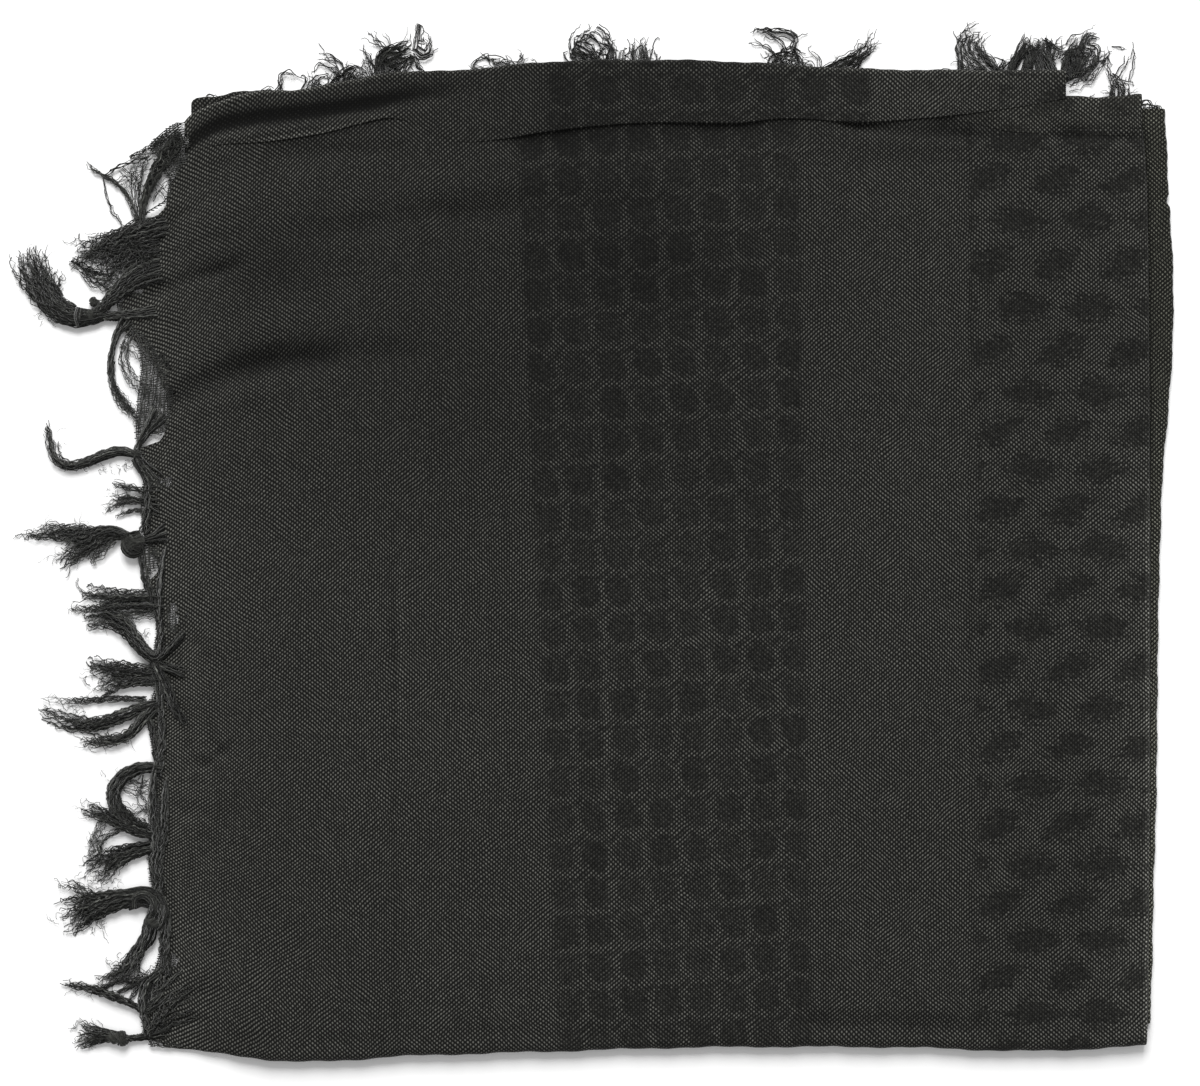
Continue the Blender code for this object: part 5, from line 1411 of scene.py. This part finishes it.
        Wisp([(299, 256), (301, 264), (301, 270), (301.5, 275)], 0.4, 2),
        Wisp([(288, 245), (290, 254), (291, 260)], 1.2, 6),
        Wisp([(293, 245), (294, 253), (291, 259)], 1.4, 7),
        Wisp([(297, 245), (297, 252), (293, 258)], 1.4, 6),
        Wisp([(289, 260), (296, 255.5), (304, 251)], 0.3, 2), Wisp([(276, 245), (280, 249.5)], 0.3, 2),
        Frizz(287, 245.5, 298, 247.5, 95, 45, 12.8, 2.25, 12, 0.29),
    ),
}

# Ropes of loose yarn along the tasselled edge.
EDGE_ROPES = (
    Run([(-237, -2, 2.8, 1), (-239.5, -20, 3.4, 1.6), (-240.5, -38, 3.6, 2), (-239.5, -52, 3.6, 1.8),
        (-241, -63, 3.8, 2.4)], 15, 0.5, 0.6, 0.02),
    Run([(-251, -1, 3, 2), (-250, -12, 3, 1.8), (-248, -22, 3, 1.8), (-244, -32, 3.2, 1.5),
        (-241, -44, 3.2, 1)], 12, 0.44, 0.75, 0.02),
    Run([(-227, -50, 3, 3.6), (-233, -57, 3.8, 3), (-241, -66, 4.2, 1.8)], 12, 0.44, 0.4, 0.02),
    Run([(-225, -74, 3, 3), (-233, -71, 3.8, 2.6), (-242, -68, 4.2, 1.8)], 12, 0.44, 0.4, 0.02),
    Run([(-243, -67, 4.2, 1.8), (-239.5, -74, 4.2, 2.4), (-236, -82, 3.8, 2.8), (-232, -93, 3.2, 2.4),
        (-224, -103, 2.8, 1.4)], 18, 0.5, 0.6, 0.02),
    Run([(-245, -69, 3.6, 2), (-241.5, -80, 3.8, 1.9), (-239.5, -96, 3.8, 1.7), (-239, -112, 3.8, 1.6),
        (-240, -130, 3.4, 1.2)], 13, 0.48, 0.75, 0.02),
    Run([(-248, -94, 3, 1.6), (-244.5, -106, 3, 1.4), (-242.5, -120, 3, 1.2), (-243.5, -134, 3, 1)], 8, 0.4,
        0.8, 0.02),
    Run([(-242, -122, 3.2, 1.2), (-244.5, -138, 3.4, 1.9), (-244, -152, 3.8, 2.3), (-242, -166, 4, 2.4),
        (-243, -180, 4, 2.4), (-240.5, -192, 3.8, 2.2), (-241, -200, 3.6, 2)], 15, 0.52, 0.8, 0.02),
    Run([(-236, -126, 1.6, 0.3), (-237, -140, 3.4, 1.3), (-237.5, -154, 3.9, 1.7), (-238, -166, 3.8, 1.6),
        (-240.5, -178, 3.8, 1.7), (-239, -190, 3.4, 1.2)], 11, 0.46, 0.75, 0.02),
    Run([(-240, -200, 3.4, 1.6), (-237.5, -210, 3.6, 1.4), (-239, -222, 3.6, 1.3), (-238, -232, 3.4, 1.5),
        (-235.5, -241, 3.2, 1.4), (-238, -250, 2.6, 1.2)], 10, 0.46, 0.75, 0.02),
    Run([(-235, -204, 2.8, 0.9), (-235.5, -218, 3.2, 1.2), (-237.5, -232, 3.2, 1.5), (-242, -245, 3, 1.8),
        (-246, -256, 2.8, 1.6)], 9, 0.44, 0.8, 0.02),
    Run([(-224, -236, 2.8, 4), (-232, -242, 3.4, 3.2), (-240, -249, 3.6, 2.2), (-247, -261, 3.4, 1.6)], 11,
        0.34, 0.8, 0.04),
    Run([(-236, -237, 2.2, 1.2), (-243, -241, 3.2, 1.8), (-248.5, -247, 3.2, 2.2), (-250, -257, 3.4, 2),
        (-248, -267, 3.4, 1.9), (-246, -275, 3.2, 2)], 13, 0.46, 0.5, 0.02),
    Run([(-222, -248, 2.8, 4.5), (-232, -255, 3.4, 4), (-240, -264, 3.4, 3), (-247, -274, 3.4, 1.8)], 14,
        0.32, 0.9, 0.04),
    Run([(-218, -262, 2.8, 4), (-230, -265, 3.2, 3.4), (-240, -270, 3.2, 2.6), (-248, -275, 3.2, 1.6)], 12,
        0.32, 0.9, 0.04),
    Run([(-254, 46, 3, 2), (-251, 40, 3, 1.8), (-247.5, 34, 3, 1.6), (-246.5, 24, 3, 1.6),
        (-247.5, 14, 3, 2), (-249, 4, 3, 2.6)], 14, 0.46, 0.75, 0.02),
    Run([(-260, 124, 2.8, 2.6), (-264.5, 115, 2.6, 1.8), (-267.5, 104, 2.2, 1.5), (-268.5, 91, 2, 1.5)], 11,
        0.44, 0.4, 0.05),
)


def tassel(node, parts):
    """One tassel, from its runs, wisps, knots and frizz."""
    yarns = Yarns()
    for part in parts:
        if isinstance(part, Run):
            count = round(part.count * (0.86 if part.fray > 0.15 else 1.0))
            run_yarns(yarns, part.keys, count, part.radius, part.curl * 1.45 + 0.1, part.fray, part.shade)
        elif isinstance(part, Wisp):
            widths = [part.width * 1.2 + 0.5] * (len(part.keys) - 1) + [part.width * 1.8 + 0.6]
            keys = [(x, y, 1.8 - 0.7 * i / len(widths), widths[i]) for i, (x, y) in enumerate(part.keys)]
            run_yarns(yarns, keys, round(part.count * 0.8), 0.3, part.curl, 0.35, 0.6)
        elif isinstance(part, Knot):
            knot(yarns, *part)
        else:
            x = rng.uniform(*sorted((part.x0, part.x1)), part.count)
            y = rng.uniform(*sorted((part.y0, part.y1)), part.count)
            frizz(yarns, np.stack([x, y], axis=-1), *part[4:8], part.radius)
    made = yarns.piece(f"{node}_yarn")
    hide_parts(node)
    return made


def weft_ends(yarns):
    """The ends of the weft past the close cloth, out to the worn edge."""
    ys = np.arange(EDGE_FOOT, EDGE_TOP, THREAD_Y)
    ys = (ys + rng.normal(0, 0.14, len(ys)))[:, None]
    edge = curve(WORN_EDGE, ys)
    reach = edge - rng.uniform(-0.4, 1.1, ys.shape)
    start = edge + curve(GAUZE, ys) + 2.2
    t = np.linspace(0, 1, 14)
    x = start + (reach - start) * t
    wander = np.clip((start - edge) / 12.0, 0.15, 1.0)
    y = ys + wander * (0.5 * np.sin(x * 0.5 + ys * 0.3) + 0.3 * np.sin(x * 1.3 + ys))
    z = panel_height(x, y) + 0.05 - 0.3 * t
    yarns.add(points_at(x, y, z), np.full(x.shape, 0.37), np.exp(rng.normal(0, 0.5, len(ys))))


def thread(yarns, x, y, lift, radius):
    """One thread that lies on the panel."""
    path = points_at(x, y, panel_height(x, y) + lift)
    yarns.add(path[None], np.full((1, len(path)), radius), np.exp(rng.normal(0, 0.5, 1)))


def warp_threads(yarns):
    """The warp threads left in the open stretches."""
    y = np.arange(EDGE_FOOT, EDGE_TOP, 1.5)
    for offset in np.arange(0.3, 19.5, 1.25):
        waves = 0.35 * np.sin(y * 0.13 + offset * 3) + 0.2 * np.sin(y * 0.6 + offset)
        x = curve(WORN_EDGE, y) + offset + waves
        inside = offset < curve(GAUZE, y) + 1.0
        changes = np.where(np.diff(inside.astype(int)) != 0)[0] + 1
        for run in np.split(np.arange(len(y)), changes):
            if inside[run[0]] and len(run) > 3:
                thread(yarns, x[run], y[run], 0.1, 0.33)


def patch_threads(yarns):
    """Both sets of threads across the worn patches."""
    t = np.linspace(-1.25, 1.25, 12)
    for at_x, at_y, half_x, half_y in WORN_PATCHES:
        for level in np.arange(-half_y, half_y, THREAD_Y):
            thread(yarns, at_x + half_x * t, at_y + level + 0.3 * np.sin(t * 4 + level), -0.1, 0.34)
        for level in np.arange(-half_x, half_x, THREAD_X):
            thread(yarns, at_x + level + 0.25 * np.sin(t * 3 + level), at_y + half_y * t, -0.1, 0.34)


def edge_yarns():
    """The open weave past the close cloth: weft ends, a few warp threads and ropes of loose yarn."""
    yarns = Yarns()
    weft_ends(yarns)
    warp_threads(yarns)
    patch_threads(yarns)
    for rope in EDGE_ROPES:
        run_yarns(yarns, *rope)
    made = yarns.piece("edge_yarn_bundle")
    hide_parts("edge_yarns")
    return made


# ---------------------------------------------------------------- build

top_sheet = top_cloth()
step_sheet = corner_step()
fold_sheet = second_fold()
fold_fringe = second_fold_fringe()
corner_sheet = lower_corner()
bottom_ply = inner_ply("bottom_ply_sheet", 0.0, 11.5, 0.5)
middle_plies = [inner_ply("lower_inner_ply", 0.36, 12.5, 0.5), inner_ply("upper_inner_ply", 0.68, 13.5, 0.4)]
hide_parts("hidden_plies")
loose_yarn = edge_yarns()
left = [tassel(f"left_tassel_{n:02d}", parts) for n, parts in LEFT_TASSELS.items()]
top = [tassel(f"top_tassel_{n:02d}", parts) for n, parts in TOP_TASSELS.items()]

# ---------------------------------------------------------------- stage, light and camera

PICTURE_WIDTH = 0.6647
PICTURE_CENTRE = (0.0042, -0.0011)
LENS = 85.0
SENSOR = 36.0


def add_window():
    """One broad, soft light from beyond the top edge."""
    light = bpy.data.lights.new("window", "AREA")
    light.shape = "SQUARE"
    light.size = 2.4
    light.energy = 240.0
    made = bpy.data.objects.new("window", light)
    made.location = (-0.3, 3.3, 3.0)
    made.rotation_euler = (radians(-47.7), 0, 0)
    bpy.context.scene.collection.objects.link(made)


def add_floor():
    """White paper under the scarf."""
    paper = bpy.data.materials.new("paper")
    paper.use_nodes = True
    shader = paper.node_tree.nodes["Principled BSDF"]
    shader.inputs["Base Color"].default_value = (0.97, 0.97, 0.97, 1)
    shader.inputs["Roughness"].default_value = 0.9
    mesh = bpy.data.meshes.new("floor")
    mesh.from_pydata([(-4, -4, 0), (4, -4, 0), (4, 4, 0), (-4, 4, 0)], [], [(0, 1, 2, 3)])
    mesh.materials.append(paper)
    floor = bpy.data.objects.new("floor", mesh)
    bpy.context.scene.collection.objects.link(floor)


def add_studio():
    """Even white light from all sides."""
    world = bpy.data.worlds.new("studio")
    world.use_nodes = True
    shader = world.node_tree.nodes["Background"]
    shader.inputs["Color"].default_value = (1, 1, 1, 1)
    shader.inputs["Strength"].default_value = 0.50
    bpy.context.scene.world = world
    bpy.context.scene.view_settings.view_transform = "Standard"


def add_camera():
    """Straight above, as in the photo."""
    camera = bpy.data.cameras.new("camera")
    camera.type = "PERSP"
    camera.lens = LENS
    camera.sensor_width = SENSOR
    camera.sensor_fit = "HORIZONTAL"
    camera.clip_end = 20.0
    eye = bpy.data.objects.new("camera", camera)
    eye.location = (*PICTURE_CENTRE, 0.008 + PICTURE_WIDTH * LENS / SENSOR)
    bpy.context.scene.collection.objects.link(eye)
    bpy.context.scene.camera = eye


add_floor()
add_studio()
add_window()
add_camera()
